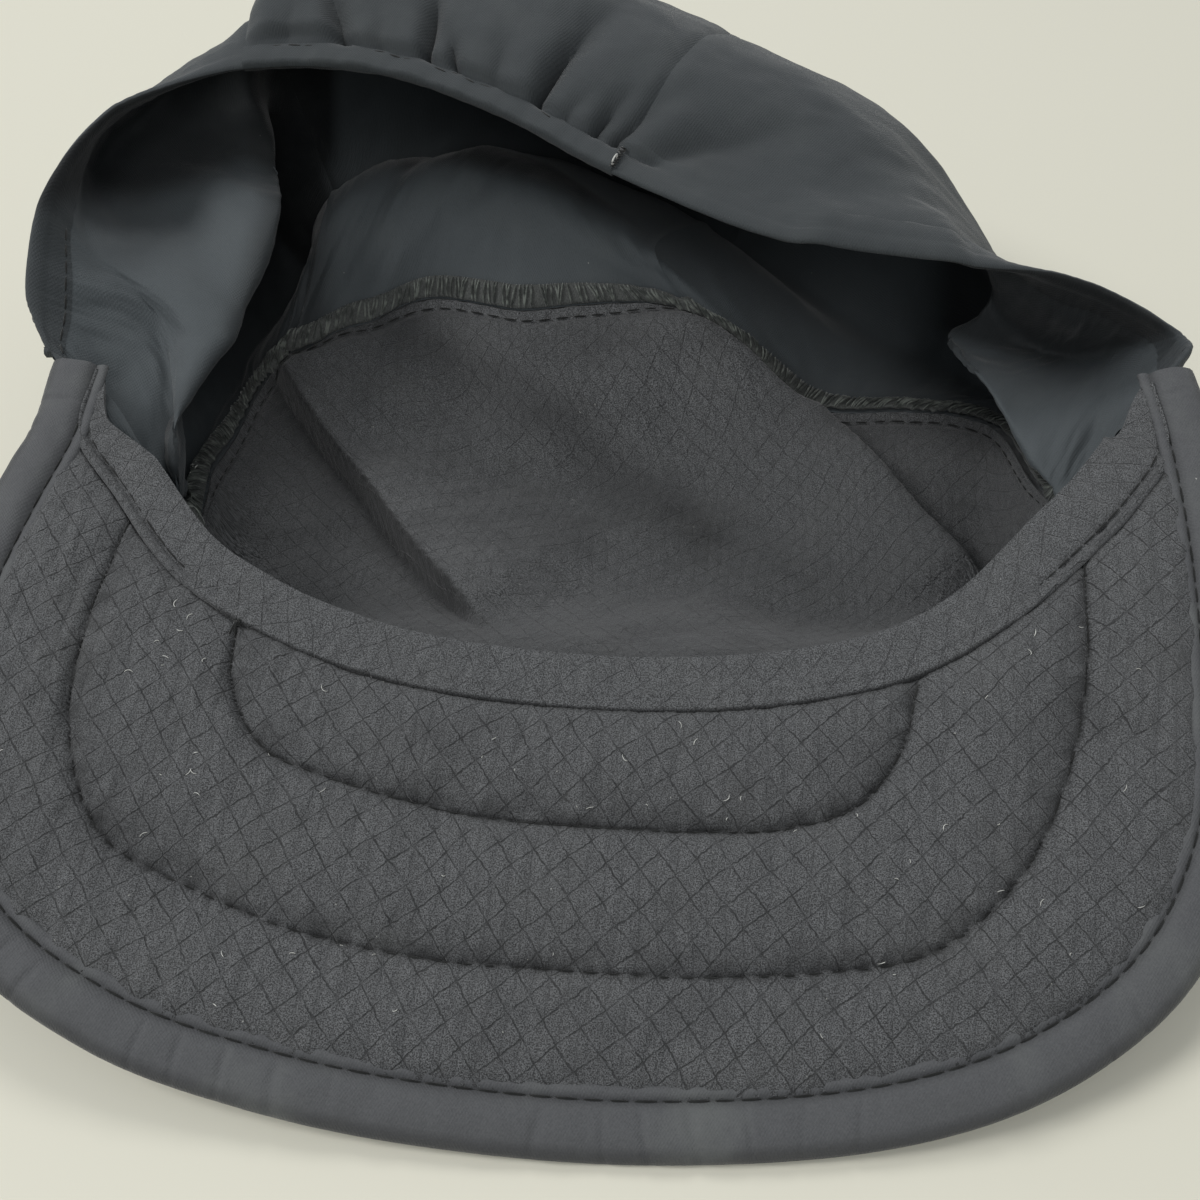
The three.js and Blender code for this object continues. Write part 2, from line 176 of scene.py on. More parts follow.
# The width of a tube's column on its flat coordinates, and the sides of a thread, how far it is
# drawn in at its ends, and a direction that no thread runs in
TUBE_COLUMN = 0.6
THREAD_SIDES = 6
THREAD_END = 0.4
THREAD_LEAN = (0.31, 0.17, 0.93)

# Widths of threads and fibres
BRIM_THREAD = 0.42
CROWN_THREAD = 0.45
OVERLOCK_THREAD = 0.42
TACK_THREAD = 0.5
TACK_LOOP = 0.32
BRIM_FIBRE = 0.12
SEAM_FIBRE = 0.3

# The angles between faces that are shaded as an edge, on sheets and on tubes
SHEET_EDGE_DEG = 50
TUBE_EDGE_DEG = 60

# Distances are taken in blocks of this many points, and from every sixth point of a long line
BLOCK = 8192
SPARSE = 6


def smooth(value, low, high):
    """0 below low, 1 above high, and a smooth rise between them."""
    share = np.clip((value - low) / (high - low), 0.0, 1.0)
    return share * share * (3.0 - 2.0 * share)


def mix(a, b, share):
    """The value at a share of the way from a to b."""
    return a + (b - a) * share


def bell(distance, width):
    """A smooth bump that is 1 at no distance and has faded at twice its width."""
    return np.exp(-(distance / width) ** 2)


def fade(distance, reach):
    """1 at no distance, fading away over the reach."""
    return np.exp(-distance / reach)


def unit(vectors):
    """The vectors at a length of 1."""
    return vectors / np.maximum(np.linalg.norm(vectors, axis=-1, keepdims=True), 1e-9)


def catmull(points, at):
    """A centripetal curve through the first axis of points, at places from 0 to their number less one."""
    points = np.asarray(points, float)
    ends = 2 * points[:1] - points[1:2], 2 * points[-1:] - points[-2:-1]
    padded = np.concatenate((ends[0], points, ends[1]))
    span = np.clip(np.floor(at).astype(int), 0, len(points) - 2)
    local = (at - span).reshape((-1,) + (1,) * (points.ndim - 1))
    before, start, end, after = (padded[span + k] for k in range(4))
    knots = [
        np.maximum(np.linalg.norm(b - a, axis=-1, keepdims=True), 1e-6) ** 0.5
        for a, b in ((before, start), (start, end), (end, after))
    ]
    first, middle, last = knots
    leave = (start - before) / first - (end - before) / (first + middle) + (end - start) / middle
    arrive = (end - start) / middle - (after - start) / (middle + last) + (after - end) / last
    leave, arrive = leave * middle, arrive * middle
    cubic = 2 * start - 2 * end + leave + arrive
    square = -3 * start + 3 * end - 2 * leave - arrive
    return ((cubic * local + square) * local + leave) * local + start


def running_total(steps):
    """The sums of the steps so far, from 0."""
    return np.concatenate(((0.0,), np.cumsum(steps)))


def lengths_along(points):
    """How far along a line each of its points lies."""
    return running_total(np.linalg.norm(np.diff(points, axis=0), axis=-1))


def points_at(places, lengths, points):
    """Points of a line at distances along it."""
    return np.stack([np.interp(places, lengths, c) for c in points.T], axis=-1)


class Line:
    """A smooth line through a few points, measured along its length."""

    def __init__(self, points, count=LONG_STEPS):
        points = np.asarray(points, float)
        self.points = catmull(points, np.linspace(0, len(points) - 1, count))
        self.lengths = lengths_along(self.points)
        self.length = self.lengths[-1]

    def at(self, share):
        """Points at shares of the line's length."""
        return points_at(np.asarray(share) * self.length, self.lengths, self.points)

    def along(self, share):
        """The line's directions at shares of its length."""
        share = np.asarray(share, float)
        step = 0.002
        return unit(self.at(np.minimum(share + step, 1)) - self.at(np.maximum(share - step, 0)))

    def right(self, share):
        """The level direction to the line's right: the brim's front edge, for its own lines."""
        along = self.along(share)
        return unit(np.stack((along[..., 1], -along[..., 0], np.zeros_like(along[..., 0])), axis=-1))

    def beside(self, share, distance):
        """Points at a level distance to the line's right."""
        distance = np.broadcast_to(distance, np.shape(share))
        return self.at(share) + self.right(share) * distance[..., None]


def brim_height(x, y):
    """The height of the brim's underside, which faces up."""
    rise = BRIM["slope"] * (y - BRIM["front_y"])
    return BRIM["front_z"] + rise + BRIM["trough"] * (x - BRIM["middle_x"]) ** 2


def brim_normal(x):
    """The brim's upward normal, which leans with its slope and trough."""
    lean = 2 * BRIM["trough"] * (x - BRIM["middle_x"])
    return unit(np.stack((-lean, np.full_like(lean, -BRIM["slope"]), np.ones_like(lean)), axis=-1))


def brim_line(rows):
    """A line on the brim through places seen from above."""
    rows = np.asarray(rows, float)
    return Line(np.column_stack((rows, brim_height(rows[:, 0], rows[:, 1]))))


seam = brim_line(SEAM)
binding_line = brim_line(BINDING_LINE)
inner_quilting = brim_line(INNER_QUILTING)
outer_quilting = brim_line(OUTER_QUILTING)


def horn_edge(share_of_section, shares):
    """Where the end of a side panel is sewn in, under the facing."""
    edge = seam.beside(mix(*shares, share_of_section), -GAP)
    edge[:, 2] = brim_height(edge[:, 0], edge[:, 1]) - HORN_DEPTH
    return edge


class Crown:
    """The crown's surface, entered by section number and by distance from the rim or from its end."""

    def __init__(self, sections):
        sections = np.array(sections, float)
        shoulders = (sections[:, 5] + sections[:, 6]) / 2
        for number, place in SHOULDERS.items():
            shoulders[number] = place
        self.sections = np.insert(sections, 6, shoulders, axis=1)
        self.fine = np.linspace(0, self.sections.shape[1] - 1, SECTION_STEPS)
        self.lengths = [lengths_along(catmull(section, self.fine)) for section in self.sections]

    def grid(self, numbers, *spans):
        """Points, and their distances from the rim and from the end, over spans of distance.

        A span is (start, end, count), in distance from the rim or, if negative, from the end.
        """
        rows = []
        for section, lengths in zip(self.sections, self.lengths):
            places = []
            for start, end, count in spans:
                ends = [d if d >= 0 else lengths[-1] + d for d in (start, end)]
                first, last = np.interp(ends, lengths, self.fine)
                places.append(np.linspace(first, last, count + 1)[min(len(places), 1):])
            places = np.concatenate(places)
            along = np.interp(places, self.fine, lengths)
            rows.append(np.column_stack((catmull(section, places), along, lengths[-1] - along)))
        rows = np.array(rows)
        inner = np.clip(numbers, 0, len(rows) - 1)
        points = catmull(rows[..., :3], inner)
        distances = catmull(rows[..., 3:], inner)
        beyond = np.abs(np.asarray(numbers) - inner)
        for side, at, shares in ((-1, 0, (0.0, FRONT_SHARE[0])), (1, -1, (1.0, FRONT_SHARE[1]))):
            past = beyond * (np.sign(numbers - inner) == side)
            edge = horn_edge(rows[at, :, 3] / self.lengths[at][-1], shares)
            points = mix(points, edge[None], past[:, None, None])
        return points, distances[..., 0], distances[..., 1]


crown = Crown(SECTIONS)
arch = np.array([section[-1] for section in SECTIONS], float)


def normals_of(grid):
    """The outward normals of a grid whose rows run left to right and columns from the rim inwards."""
    across = np.gradient(grid, axis=0)
    down = np.gradient(grid, axis=1)
    return unit(np.cross(across, down))


def cloth_coordinates(grid):
    """Flat coordinates in millimetres for a grid of cloth, from its mean lengths."""
    along = running_total(np.linalg.norm(np.diff(grid, axis=0), axis=2).mean(axis=1))
    down = running_total(np.linalg.norm(np.diff(grid, axis=1), axis=2).mean(axis=0))
    return np.stack(np.meshgrid(along, down, indexing="ij"), axis=-1)


def waves(flat, stretch, seed, octaves=3):
    """Smooth noise from -1 to 1 over flat coordinates; stretch gives its size along both axes."""
    scaled = flat.reshape(-1, 2) / np.asarray(stretch, float)
    values = [
        noise.fractal((x, y, seed), 0.6, 2.1, octaves, noise_basis="PERLIN_ORIGINAL")
        for x, y in scaled
    ]
    return np.array(values).reshape(flat.shape[:-1])


def distance_to(path, points):
    """How far points lie from a path's points, and the number of the nearest one."""
    flat = points.reshape(-1, points.shape[-1])
    near = np.empty(len(flat))
    place = np.empty(len(flat), int)
    for start in range(0, len(flat), BLOCK):
        block = flat[start:start + BLOCK]
        squares = ((block[:, None, :] - path[None, :, :]) ** 2).sum(axis=2)
        place[start:start + BLOCK] = squares.argmin(axis=1)
        near[start:start + BLOCK] = np.sqrt(squares.min(axis=1))
    return near.reshape(points.shape[:-1]), place.reshape(points.shape[:-1])


def beside_line(path, points):
    """Distances of points from a line, their offsets from it, its directions there and shares along it."""
    line = Line(path, LINE_STEPS)
    distance, place = distance_to(line.points, points)
    along = line.along(np.linspace(0, 1, LINE_STEPS))[place]
    return distance, points - line.points[place], along, place / (LINE_STEPS - 1)


def above_floor(points, lowest):
    """The points, none of them lower than the lowest height."""
    return np.concatenate((points[..., :2], np.maximum(points[..., 2:], lowest)), axis=-1)


def to_frame(points):
    """Points of the drawing, in the frame's metres."""
    return (points + DRAWING_ORIGIN) * MM


def new_object(name, mesh):
    """An object for the mesh, in the scene."""
    piece = bpy.data.objects.new(name, mesh)
    bpy.context.scene.collection.objects.link(piece)
    return piece


def new_piece(name, points, faces, material, flat=None, crease=None):
    """A smooth piece: points in millimetres, with flat coordinates as its UV map and a crease attribute of
    painted shade.
    """
    mesh = bpy.data.meshes.new(name)
    mesh.from_pydata(to_frame(points).tolist(), [], faces)
    mesh.polygons.foreach_set("use_smooth", np.ones(len(faces), bool))
    mesh.materials.append(material)
    if flat is not None:
        corners = np.empty(len(mesh.loops), np.int32)
        mesh.loops.foreach_get("vertex_index", corners)
        layer = mesh.uv_layers.new(name="cloth")
        layer.data.foreach_set("uv", (flat[corners] * MM).astype(np.float32).ravel())
    # The crease attribute is painted shade, from 0 for none to 1 for the darkest, that darkens the cloth's
    # colour.
    if crease is not None:
        layer = mesh.attributes.new("crease", "FLOAT", "POINT")
        layer.data.foreach_set("value", crease.ravel().astype(np.float32))
    return new_object(name, mesh)


def shell(name, outside, inside, flat, material, lining=None, crease=0.0):
    """A closed piece of cloth between two grids of points, with another material on its inside faces and
    painted shade in its crease attribute.
    """
    rows, columns = outside.shape[:2]
    index = np.arange(rows * columns).reshape(rows, columns)
    offset = rows * columns

    def quads(a, b, c, d):
        return np.stack((a, b, c, d), axis=-1).reshape(-1, 4)

    near, far = index[:-1, :-1], index[1:, :-1]
    near_next, far_next = index[:-1, 1:], index[1:, 1:]
    faces = [
        quads(near, far, far_next, near_next),
        quads(near + offset, near_next + offset, far_next + offset, far + offset),
        quads(index[:-1, 0], index[:-1, 0] + offset, index[1:, 0] + offset, index[1:, 0]),
        quads(index[:-1, -1], index[1:, -1], index[1:, -1] + offset, index[:-1, -1] + offset),
        quads(index[0, :-1], index[0, 1:], index[0, 1:] + offset, index[0, :-1] + offset),
        quads(index[-1, :-1], index[-1, :-1] + offset, index[-1, 1:] + offset, index[-1, 1:]),
    ]
    faces = np.concatenate(faces).tolist()
    points = np.concatenate((outside.reshape(-1, 3), inside.reshape(-1, 3)))
    laid = np.tile(flat.reshape(-1, 2), (2, 1))
    piece = new_piece(name, points, faces, material, laid, np.broadcast_to(crease, (2, rows, columns)))
    if lining:
        piece.data.materials.append(lining)
        count = (rows - 1) * (columns - 1)
        inner = np.arange(len(faces)) // count == 1
        piece.data.polygons.foreach_set("material_index", inner.astype(np.int32))
    piece.data.set_sharp_from_angle(angle=math.radians(SHEET_EDGE_DEG))
    return piece


def seat(piece, slot, *nodes):
    """The piece rides on the cap and stands for its nodes, whose parts of the frame are hidden; its slot is
    not used.
    """
    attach(piece, BODY)
    if nodes:
        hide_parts(*nodes)
    return piece


def tape(line, shares, profile, bulge):
    """A grid of points: a profile of distances to the right and heights, carried along a line on the brim."""
    base = line.at(shares)
    up = brim_normal(base[:, 0])
    right = line.right(shares)
    right = unit(right - up * (right * up).sum(axis=1, keepdims=True))
    heights = profile[:, 1] + bulge
    return base[:, None] + right[:, None] * profile[None, :, 0, None] + up[:, None] * heights[..., None]


def tube_faces(index):
    """The faces of a tube with closed ends; each row of vertex numbers goes once round it."""
    turned = np.roll(index, -1, axis=1)
    sides = np.stack((index[:-1], turned[:-1], turned[1:], index[1:]), axis=-1).reshape(-1, 4)
    return sides.tolist() + [index[0, ::-1].tolist(), index[-1].tolist()]


def tube_piece(name, grid, material, spacing, crease=0.0):
    """A closed ring section carried along a line: the grid's columns go once round it."""
    rows, columns = grid.shape[:2]
    faces = tube_faces(np.arange(rows * columns).reshape(rows, columns))
    along = np.repeat(np.arange(rows) * spacing, columns)
    around = np.tile(np.arange(columns) * TUBE_COLUMN, rows)
    flat = np.column_stack((along, around))
    points = grid.reshape(-1, 3)
    piece = new_piece(name, points, faces, material, flat, np.broadcast_to(crease, (rows, columns)))
    piece.data.set_sharp_from_angle(angle=math.radians(TUBE_EDGE_DEG))
    return piece


# Folds, each a path on the cloth as seen from inside the cap, with how far it rises
# towards the inside, and its widths on the left and right of the path.
PANEL_FOLDS = ((((34, 18, 56), (54, 18, 52), (68, 18, 48)), -3.0, 7.0, 7.0),)

# Gathers of the back panel beside its elastic: sections past the left tack, slant in
# sections, width in sections, depth and reach up the panel.
GATHERS = (
    (0.34, 0.1, 0.08, 1.6, 16), (0.78, -0.45, 0.08, 4.0, 36), (1.08, 0.0, 0.07, 1.6, 14),
    (1.42, 0.02, 0.05, 4.8, 32), (1.66, -0.15, 0.05, 3.6, 14), (1.95, 0.1, 0.07, 1.4, 22),
    (2.29, 0.35, 0.06, 5.0, 46), (2.52, 0.2, 0.05, 1.6, 12), (2.76, 0.15, 0.05, 3.8, 18),
    (2.91, 0.25, 0.05, 3.6, 24), (3.14, 0.9, 0.1, 2.4, 40),
)

# The front panel's two long folds, from the arch to the brim (x, y)
LEFT_FOLD = ((-76, 44), (-67, 28), (-50, 4), (-35, -18), (-19, -40))
RIGHT_FOLD = ((14, 62), (27, 46), (36, 36), (47, 23), (60, 3), (70, -14), (79, -28))
FRONT_FOLDS = ((LEFT_FOLD, 7.0, 24.0, 1.5), (RIGHT_FOLD, 8.5, 3.0, 18.0))
FRONT_WRINKLES = (
    (((-60, -6), (-38, 8), (-10, 22)), 1.0, 7.0, 5.0),
    (((-44, -30), (-10, -12), (24, 8)), 0.9, 8.0, 6.0),
    (((-12, -50), (16, -32), (44, -10)), 0.8, 6.0, 5.0),
    (((6, 38), (12, 12), (22, -14)), 0.7, 5.0, 6.0),
)

# The least height of a fold that shows, the shares of the front panel over which it comes down
# from its seams and its sides, and the height of its inside where it rests
FOLD_FADE = 0.8
FRONT_RISE = 0.4
FRONT_SIDE = 0.12
TABLE_LAYER = 1.1

# Painted shade on the front panel beside its long folds and along a hollow: path (x, y), depth, and width on
# the left and right
FRONT_SHADES = (
    (LEFT_FOLD, 0.5, 0.4, 4.2),
    (LEFT_FOLD, 0.35, 0.4, 11.0),
    (RIGHT_FOLD, 0.35, 8.0, 0.4),
    (((-56, 48), (-30, 35), (-10, 22), (11, 4), (30, -16)), 0.4, 5.0, 8.0),
)


def fold_height(points, up, folds):
    """How far the folds raise points towards up, an array of unit vectors."""
    total = np.zeros(points.shape[:-1])
    for path, height, left, right in folds:
        distance, offset, along, share = beside_line(path, points)
        if points.shape[-1] == 2:
            side = along[..., 0] * offset[..., 1] - along[..., 1] * offset[..., 0]
        else:
            side = (np.cross(up, along) * offset).sum(axis=-1)
        ends = smooth(share, -0.02, 0.16) * smooth(share, 1.02, 0.84)
        total += height * ends * bell(distance, np.where(side > 0, left, right))
    return total


# Where the arched seam wanders: sections past the left tack, shift away from the brim,
# and width in sections
ARCH_SHIFTS = ((0.25, -3.2, 0.28), (0.75, -2.6, 0.2), (1.3, 2.2, 0.3), (2.0, -1.6, 0.22),
               (2.75, 1.4, 0.3), (3.6, 2.0, 0.3))


def arch_shift(numbers):
    """How far the arched seam stands away from its sections' ends, at section numbers."""
    past = numbers - LEFT_TACK
    return sum(shift * bell(past - at, width) for at, shift, width in ARCH_SHIFTS)


def gathered(numbers, from_rim):
    """How far the gathers beside the elastic rise towards the inside, and the shade painted in them."""
    rise = np.zeros(from_rim.shape)
    dark = np.zeros(from_rim.shape)
    for place, slant, width, depth, reach in GATHERS:
        share = np.clip((from_rim - CASING_WIDTH) / reach, 0, 1)
        centre = LEFT_TACK + place + slant * share
        off = np.abs(numbers - centre) / (width * (1 + 1.6 * share))
        near = smooth(from_rim, CASING_WIDTH - 1.5, CASING_WIDTH + 2)
        gather = np.exp(-off ** 1.5) * smooth(share, 1.0, 0.1) * near
        rise += depth * gather
        # Painted shade along the gathers
        dark += 0.12 * depth * gather * (1 - share)
    puffed = smooth(numbers - LEFT_TACK, -0.1, 0.2) * smooth(numbers - LEFT_TACK, 3.6, 3.0)
    rise -= puffed * 2.4 * smooth(from_rim, CASING_WIDTH, CASING_WIDTH + 3) * smooth(from_rim, 45, 12)
    return rise, np.clip(dark, 0, 0.6)


def crown_cloth(numbers, *spans):
    """The crown's inside with its folds, flat coordinates, distances from the rim, and the shade painted in
    its gathers.
    """
    points, from_rim, from_end = crown.grid(numbers, *spans)
    outward = normals_of(points)
    numbers = np.broadcast_to(np.asarray(numbers)[:, None], from_rim.shape)
    flat = np.stack((numbers * SECTION_SPACING, from_rim), axis=-1)
    rise, dark = gathered(numbers, from_rim)
    rise += fold_height(points, -outward, PANEL_FOLDS)
    calm = smooth(from_rim, 2, 16) * smooth(from_end, 2, 14)
    rise += 1.4 * waves(flat, (34, 26), 3.1, 2) * calm
    rise += 0.5 * waves(flat, (9, 14), 8.7, 3) * mix(0.25, 1.0, calm)
    pucker = np.sin(2 * np.pi * flat[..., 0] / 4.6 + 2.5 * waves(flat, (30, 60), 5.5, 1))
    rise += 0.11 * pucker * (fade(from_end, 4) + fade(np.abs(from_rim - HEM_WIDTH), 3))
    for tack in (LEFT_TACK, RIGHT_TACK):
        rise += 0.6 * bell((numbers - tack) * SECTION_SPACING, 0.7) * smooth(from_rim, 4, 7)
    points = points - outward * rise[..., None]
    points[..., 1] += arch_shift(numbers) * bell(from_end, 14)
    return points, flat, from_rim, dark


# The far edge of the ridge beside the right cavity, seen from above (x, y)
CAVITY_EDGE = ((-30, 92), (-9, 79), (12, 62), (32, 48), (48, 29))

# Where the painted shade of the left hood and the right lobe begins, in shares of the picture across and down
HOOD_EDGE = (
    (0, 0.179), (0.032, 0.176), (0.06, 0.164), (0.117, 0.164), (0.154, 0.155), (0.187, 0.141), (0.22, 0.134),
)
LOBE_EDGE = (
    (0.775, 0.275), (0.79, 0.279), (0.847, 0.297), (0.875, 0.306), (0.917, 0.3), (0.96, 0.282), (1, 0.266),
)

# The right edge of the hood's flap, beside which shade is painted, in shares of the picture down and across
FLAP_EDGE = ((0.143, 0.231), (0.171, 0.233), (0.283, 0.201), (0.348, 0.149))

# The darkest painted shade in the hood and the lobe, beside the flap's edge, in the cavity, and where these
# meet
HOOD_SHADE = 0.8
FLAP_SHADE = 0.6
CAVITY_SHADE = 0.85
DARKEST = 0.9


def picture_place(points):
    """How far right and down points of the drawing lie in the camera's square picture, from 0 to 1."""
    from_lens = points - np.array(CAMERA_AT)
    sine, cosine = math.sin(math.radians(CAMERA_DOWN_DEG)), math.cos(math.radians(CAMERA_DOWN_DEG))
    depth = from_lens[..., 1] * cosine - from_lens[..., 2] * sine
    upward = from_lens[..., 1] * sine + from_lens[..., 2] * cosine
    return 0.5 + from_lens[..., 0] / depth, 0.5 - upward / depth


def above(line, across, down, soft):
    """1 above a line across the picture, and 0 below it."""
    places, heights = zip(*line)
    return smooth(np.interp(across, places, heights) - down, -soft, soft)


def cavity_shade(points):
    """How far points lie past the ridge beside the right cavity, from 0 to 1."""
    x, y = points[..., 0], points[..., 1]
    distance, offset, along, _ = beside_line(CAVITY_EDGE, points[..., :2])
    right = along[..., 1] * offset[..., 0] - along[..., 0] * offset[..., 1]
    past = smooth(right / np.maximum(distance, 1e-3) * np.minimum(distance, 4), 0, 3)
    return past * smooth(y + 0.28 * (x - 58), 45, 54)


def hollow_shade(points):
    """Painted shade on the crown's inside faces: in the left hood, beside the hood's flap, under the right
    rim and in the right cavity.
    """
    across, down = picture_place(points)
    in_hood = smooth(across, 0.29, 0.26)
    hood = above(HOOD_EDGE, across, down, 0.014) * in_hood
    lobe = above(LOBE_EDGE, across, down, 0.009) * smooth(across, 0.76, 0.8)
    places, edges = zip(*FLAP_EDGE)
    from_edge = np.interp(down, places, edges) - across
    flap = smooth(from_edge, 0.028, 0.002) * smooth(down, 0.38, 0.3) * in_hood
    dark = HOOD_SHADE * np.maximum(hood, lobe) + FLAP_SHADE * flap + CAVITY_SHADE * cavity_shade(points)
    return np.clip(dark, 0, DARKEST)


def front_cloth(across, down):
    """The front panel's inside, from its arched seam, down = 0, to the brim's seam, down = 1."""
    far = catmull(arch, across * LAST_SECTION)
    far[:, 1] += arch_shift(across * LAST_SECTION)
    shares = mix(*FRONT_SHARE, across)
    near = seam.beside(shares, -SEAM_CLEARANCE - GAP)
    near[:, 2] = brim_height(near[:, 0], near[:, 1]) - FRONT_DEPTH
    points = mix(far[:, None], near[:, None], down[None, :, None])
    flat = points[..., :2]
    lift = np.maximum(fold_height(flat, None, FRONT_FOLDS) - FOLD_FADE, 0)
    from_side = np.minimum(across, 1 - across)[:, None]
    inside = smooth(from_side, 0, FRONT_SIDE)
    low = mix(points[..., 2], TABLE_LAYER, inside)
    far_rise = (far[:, None, 2] - low) * (1 - smooth(down, 0, FRONT_RISE))
    near_rise = (near[:, None, 2] - low) * (1 - smooth(1 - down, 0, FRONT_RISE))
    height = low + far_rise + near_rise + lift * inside * smooth(down, 0, 0.07) * smooth(down, 1.0, 0.7)
    from_far = down * np.linalg.norm(far - near, axis=1)[:, None]
    middle = smooth(down, 0, 0.15) * smooth(down, 1, 0.9) * smooth(from_side, 0.0, 0.1)
    bumps = fold_height(flat, None, FRONT_WRINKLES) + 1.1 * waves(flat, (38, 24), 2.3, 2)
    bumps += 0.35 * waves(flat @ np.array(((0.8, -0.6), (0.6, 0.8))), (16, 6), 4.9, 3)
    pucker = np.sin(2 * np.pi * flat[..., 0] / 4.4 + 2.5 * waves(flat, (30, 60), 1.5, 1))
    edges = fade(from_far, 3.5) + fade(1 - down, 0.05)
    height = height + np.maximum(bumps, -0.5) * middle + 0.14 * pucker * edges
    height += 0.7 * bell(from_far - 0.9, 0.7) - 0.5 * bell(from_far - 3.4, 0.7)
    return np.dstack((flat, np.maximum(height, TABLE_LAYER - 0.1)))


def front_painted_shade(flat, to_brim):
    """Painted shade on the front panel beside its long folds and near the brim, with random darker patches of
    tone, from 0 to 1.
    """
    dark = fold_height(flat, None, FRONT_SHADES) + 0.28 * fade(to_brim, 0.16)
    return np.clip(dark + 0.3 * np.maximum(waves(flat, (24, 13), 17.5, 3), 0), 0, DARKEST)


def brim_grid(along, across):
    """The brim's flat underside between its seam and its binding."""
    inner = seam.beside(mix(TIP_SHARE, 1 - TIP_SHARE, along), 0.1)
    outer = binding_line.beside(mix(*BRIM_SHARE, along), -GAP)
    grid = mix(inner[:, None], outer[:, None], across[None, :, None])
    grid[..., 2] = brim_height(grid[..., 0], grid[..., 1])
    return grid


def brim_lines(grid):
    """Distances from the nearest quilting, below 0 on its inner side, and from the edge and the seam."""
    flat = grid[..., :2]
    signed = np.full(flat.shape[:-1], 1e3)
    for line in (inner_quilting, outer_quilting):
        path = line.points[::SPARSE]
        distance, place = distance_to(path[:, :2], flat)
        right = line.right(line.lengths[::SPARSE] / line.length)[place][..., :2]
        side = np.sign(((flat - path[place][..., :2]) * right).sum(axis=-1))
        signed = np.where(distance < np.abs(signed), distance * side, signed)
    edge, _ = distance_to(binding_line.points[::SPARSE, :2], flat)
    to_seam, _ = distance_to(seam.points[::SPARSE, :2], flat)
    return signed, edge, to_seam


def brim_puff(grid):
    """How far the brim's cloth stands up between its rows of stitches, in millimetres."""
    flat = grid[..., :2]
    signed, edge, to_seam = brim_lines(grid)
    stitched = np.abs(signed)
    puff = BRIM_PUFF * np.ones(edge.shape)
    for distance, reach in ((stitched, np.where(signed < 0, 3.0, 2.0)), (edge, 3.4), (to_seam, 2.4)):
        puff *= 1 - np.exp(-(distance / reach) ** 0.8)
    nearest = np.minimum(stitched, edge)
    free = 1 - bell(nearest, 1.1)
    puff += 0.5 * waves(flat, (3.6, 3.6), 9.3, 2) * fade(nearest, 4) * free
    slanted = flat @ np.array(((0.99, 0.14), (-0.14, 0.99)))
    puff += (0.34 * waves(slanted, (3.4, 15), 7.1, 2) + 0.6 * waves(flat, (20, 13), 6.4, 2)) * free
    puff += 0.26 * waves(slanted, (2.4, 4.2), 3.7, 2) * free
    return puff - 0.25 - 0.35 * bell(stitched, 0.45) - 1.1 * bell(to_seam, 0.9)


def brim_painted_shade(grid):
    """Painted shade on the brim's cloth: along and above its rows of stitches, at its seam and along its
    edge, with random darker patches of tone, from 0 to 1.
    """
    flat = grid[..., :2]
    signed, edge, to_seam = brim_lines(grid)
    stitched = np.abs(signed)
    patchy = 0.65 + 0.7 * waves(flat, (5, 3), 15.2, 3)
    dark = 0.95 * bell(stitched, 0.33) + 0.5 * bell(edge, 0.8) + 1.2 * bell(to_seam - 0.6, 0.5)
    dark += np.where(signed < 0, 0.8 * fade(stitched, 3.4) * patchy, 0.1 * fade(stitched, 0.8))
    dark += 0.35 * fade(edge, 2.4) * patchy + 0.2 * np.maximum(waves(flat, (26, 14), 21.4, 3), 0)
    return np.clip(dark, 0, 1)


def brim_surface(grid):
    """The brim's puffed underside over its flat grid."""
    return grid + brim_normal(grid[..., 0]) * brim_puff(grid)[..., None]


# Materials

class Nodes:
    """A few short ways to add nodes to one tree."""

    def __init__(self, tree):
        self.tree = tree

    def add(self, kind, **settings):
        """A new node with its settings."""
        node = self.tree.nodes.new(kind)
        for name, value in settings.items():
            setattr(node, name, value)
        return node

    def put(self, values, sockets):
        """Links or sets each value in its socket."""
        for value, socket in zip(values, sockets):
            if isinstance(value, bpy.types.NodeSocket):
                self.tree.links.new(value, socket)
            else:
                socket.default_value = value

    def feed(self, node, **inputs):
        """Links or sets inputs named with underscores for spaces."""
        self.put(inputs.values(), (node.inputs[name.replace("_", " ")] for name in inputs))
        return node

    def math(self, operation, *values):
        """The result of an operation on values."""
        node = self.add("ShaderNodeMath", operation=operation)
        self.put(values, node.inputs)
        return node.outputs[0]

    def millimetres(self, vector):
        """The vector in metres, turned into millimetres."""
        node = self.add("ShaderNodeVectorMath", operation="SCALE")
        self.feed(node, Vector=vector, Scale=1 / MM)
        return node.outputs[0]

    def noise(self, vector, scale, detail=2.0, roughness=0.5):
        """Noise from 0 to 1."""
        node = self.add("ShaderNodeTexNoise")
        self.feed(node, Vector=vector, Scale=scale, Detail=detail, Roughness=roughness)
        return node.outputs["Fac"]

    def ramp(self, value, low, high, first=0.0, last=1.0):
        """A smooth change from first, at low, to last, at high."""
        node = self.add("ShaderNodeMapRange", interpolation_type="SMOOTHSTEP")
        self.feed(node, Value=value, From_Min=low, From_Max=high, To_Min=first, To_Max=last)
        return node.outputs["Result"]

    def blend(self, share, first, second):
        """The first colour with a share of the second."""
        node = self.add("ShaderNodeMix", data_type="RGBA")
        self.put((share, first, second), (node.inputs["Factor"], node.inputs[6], node.inputs[7]))
        return node.outputs[2]


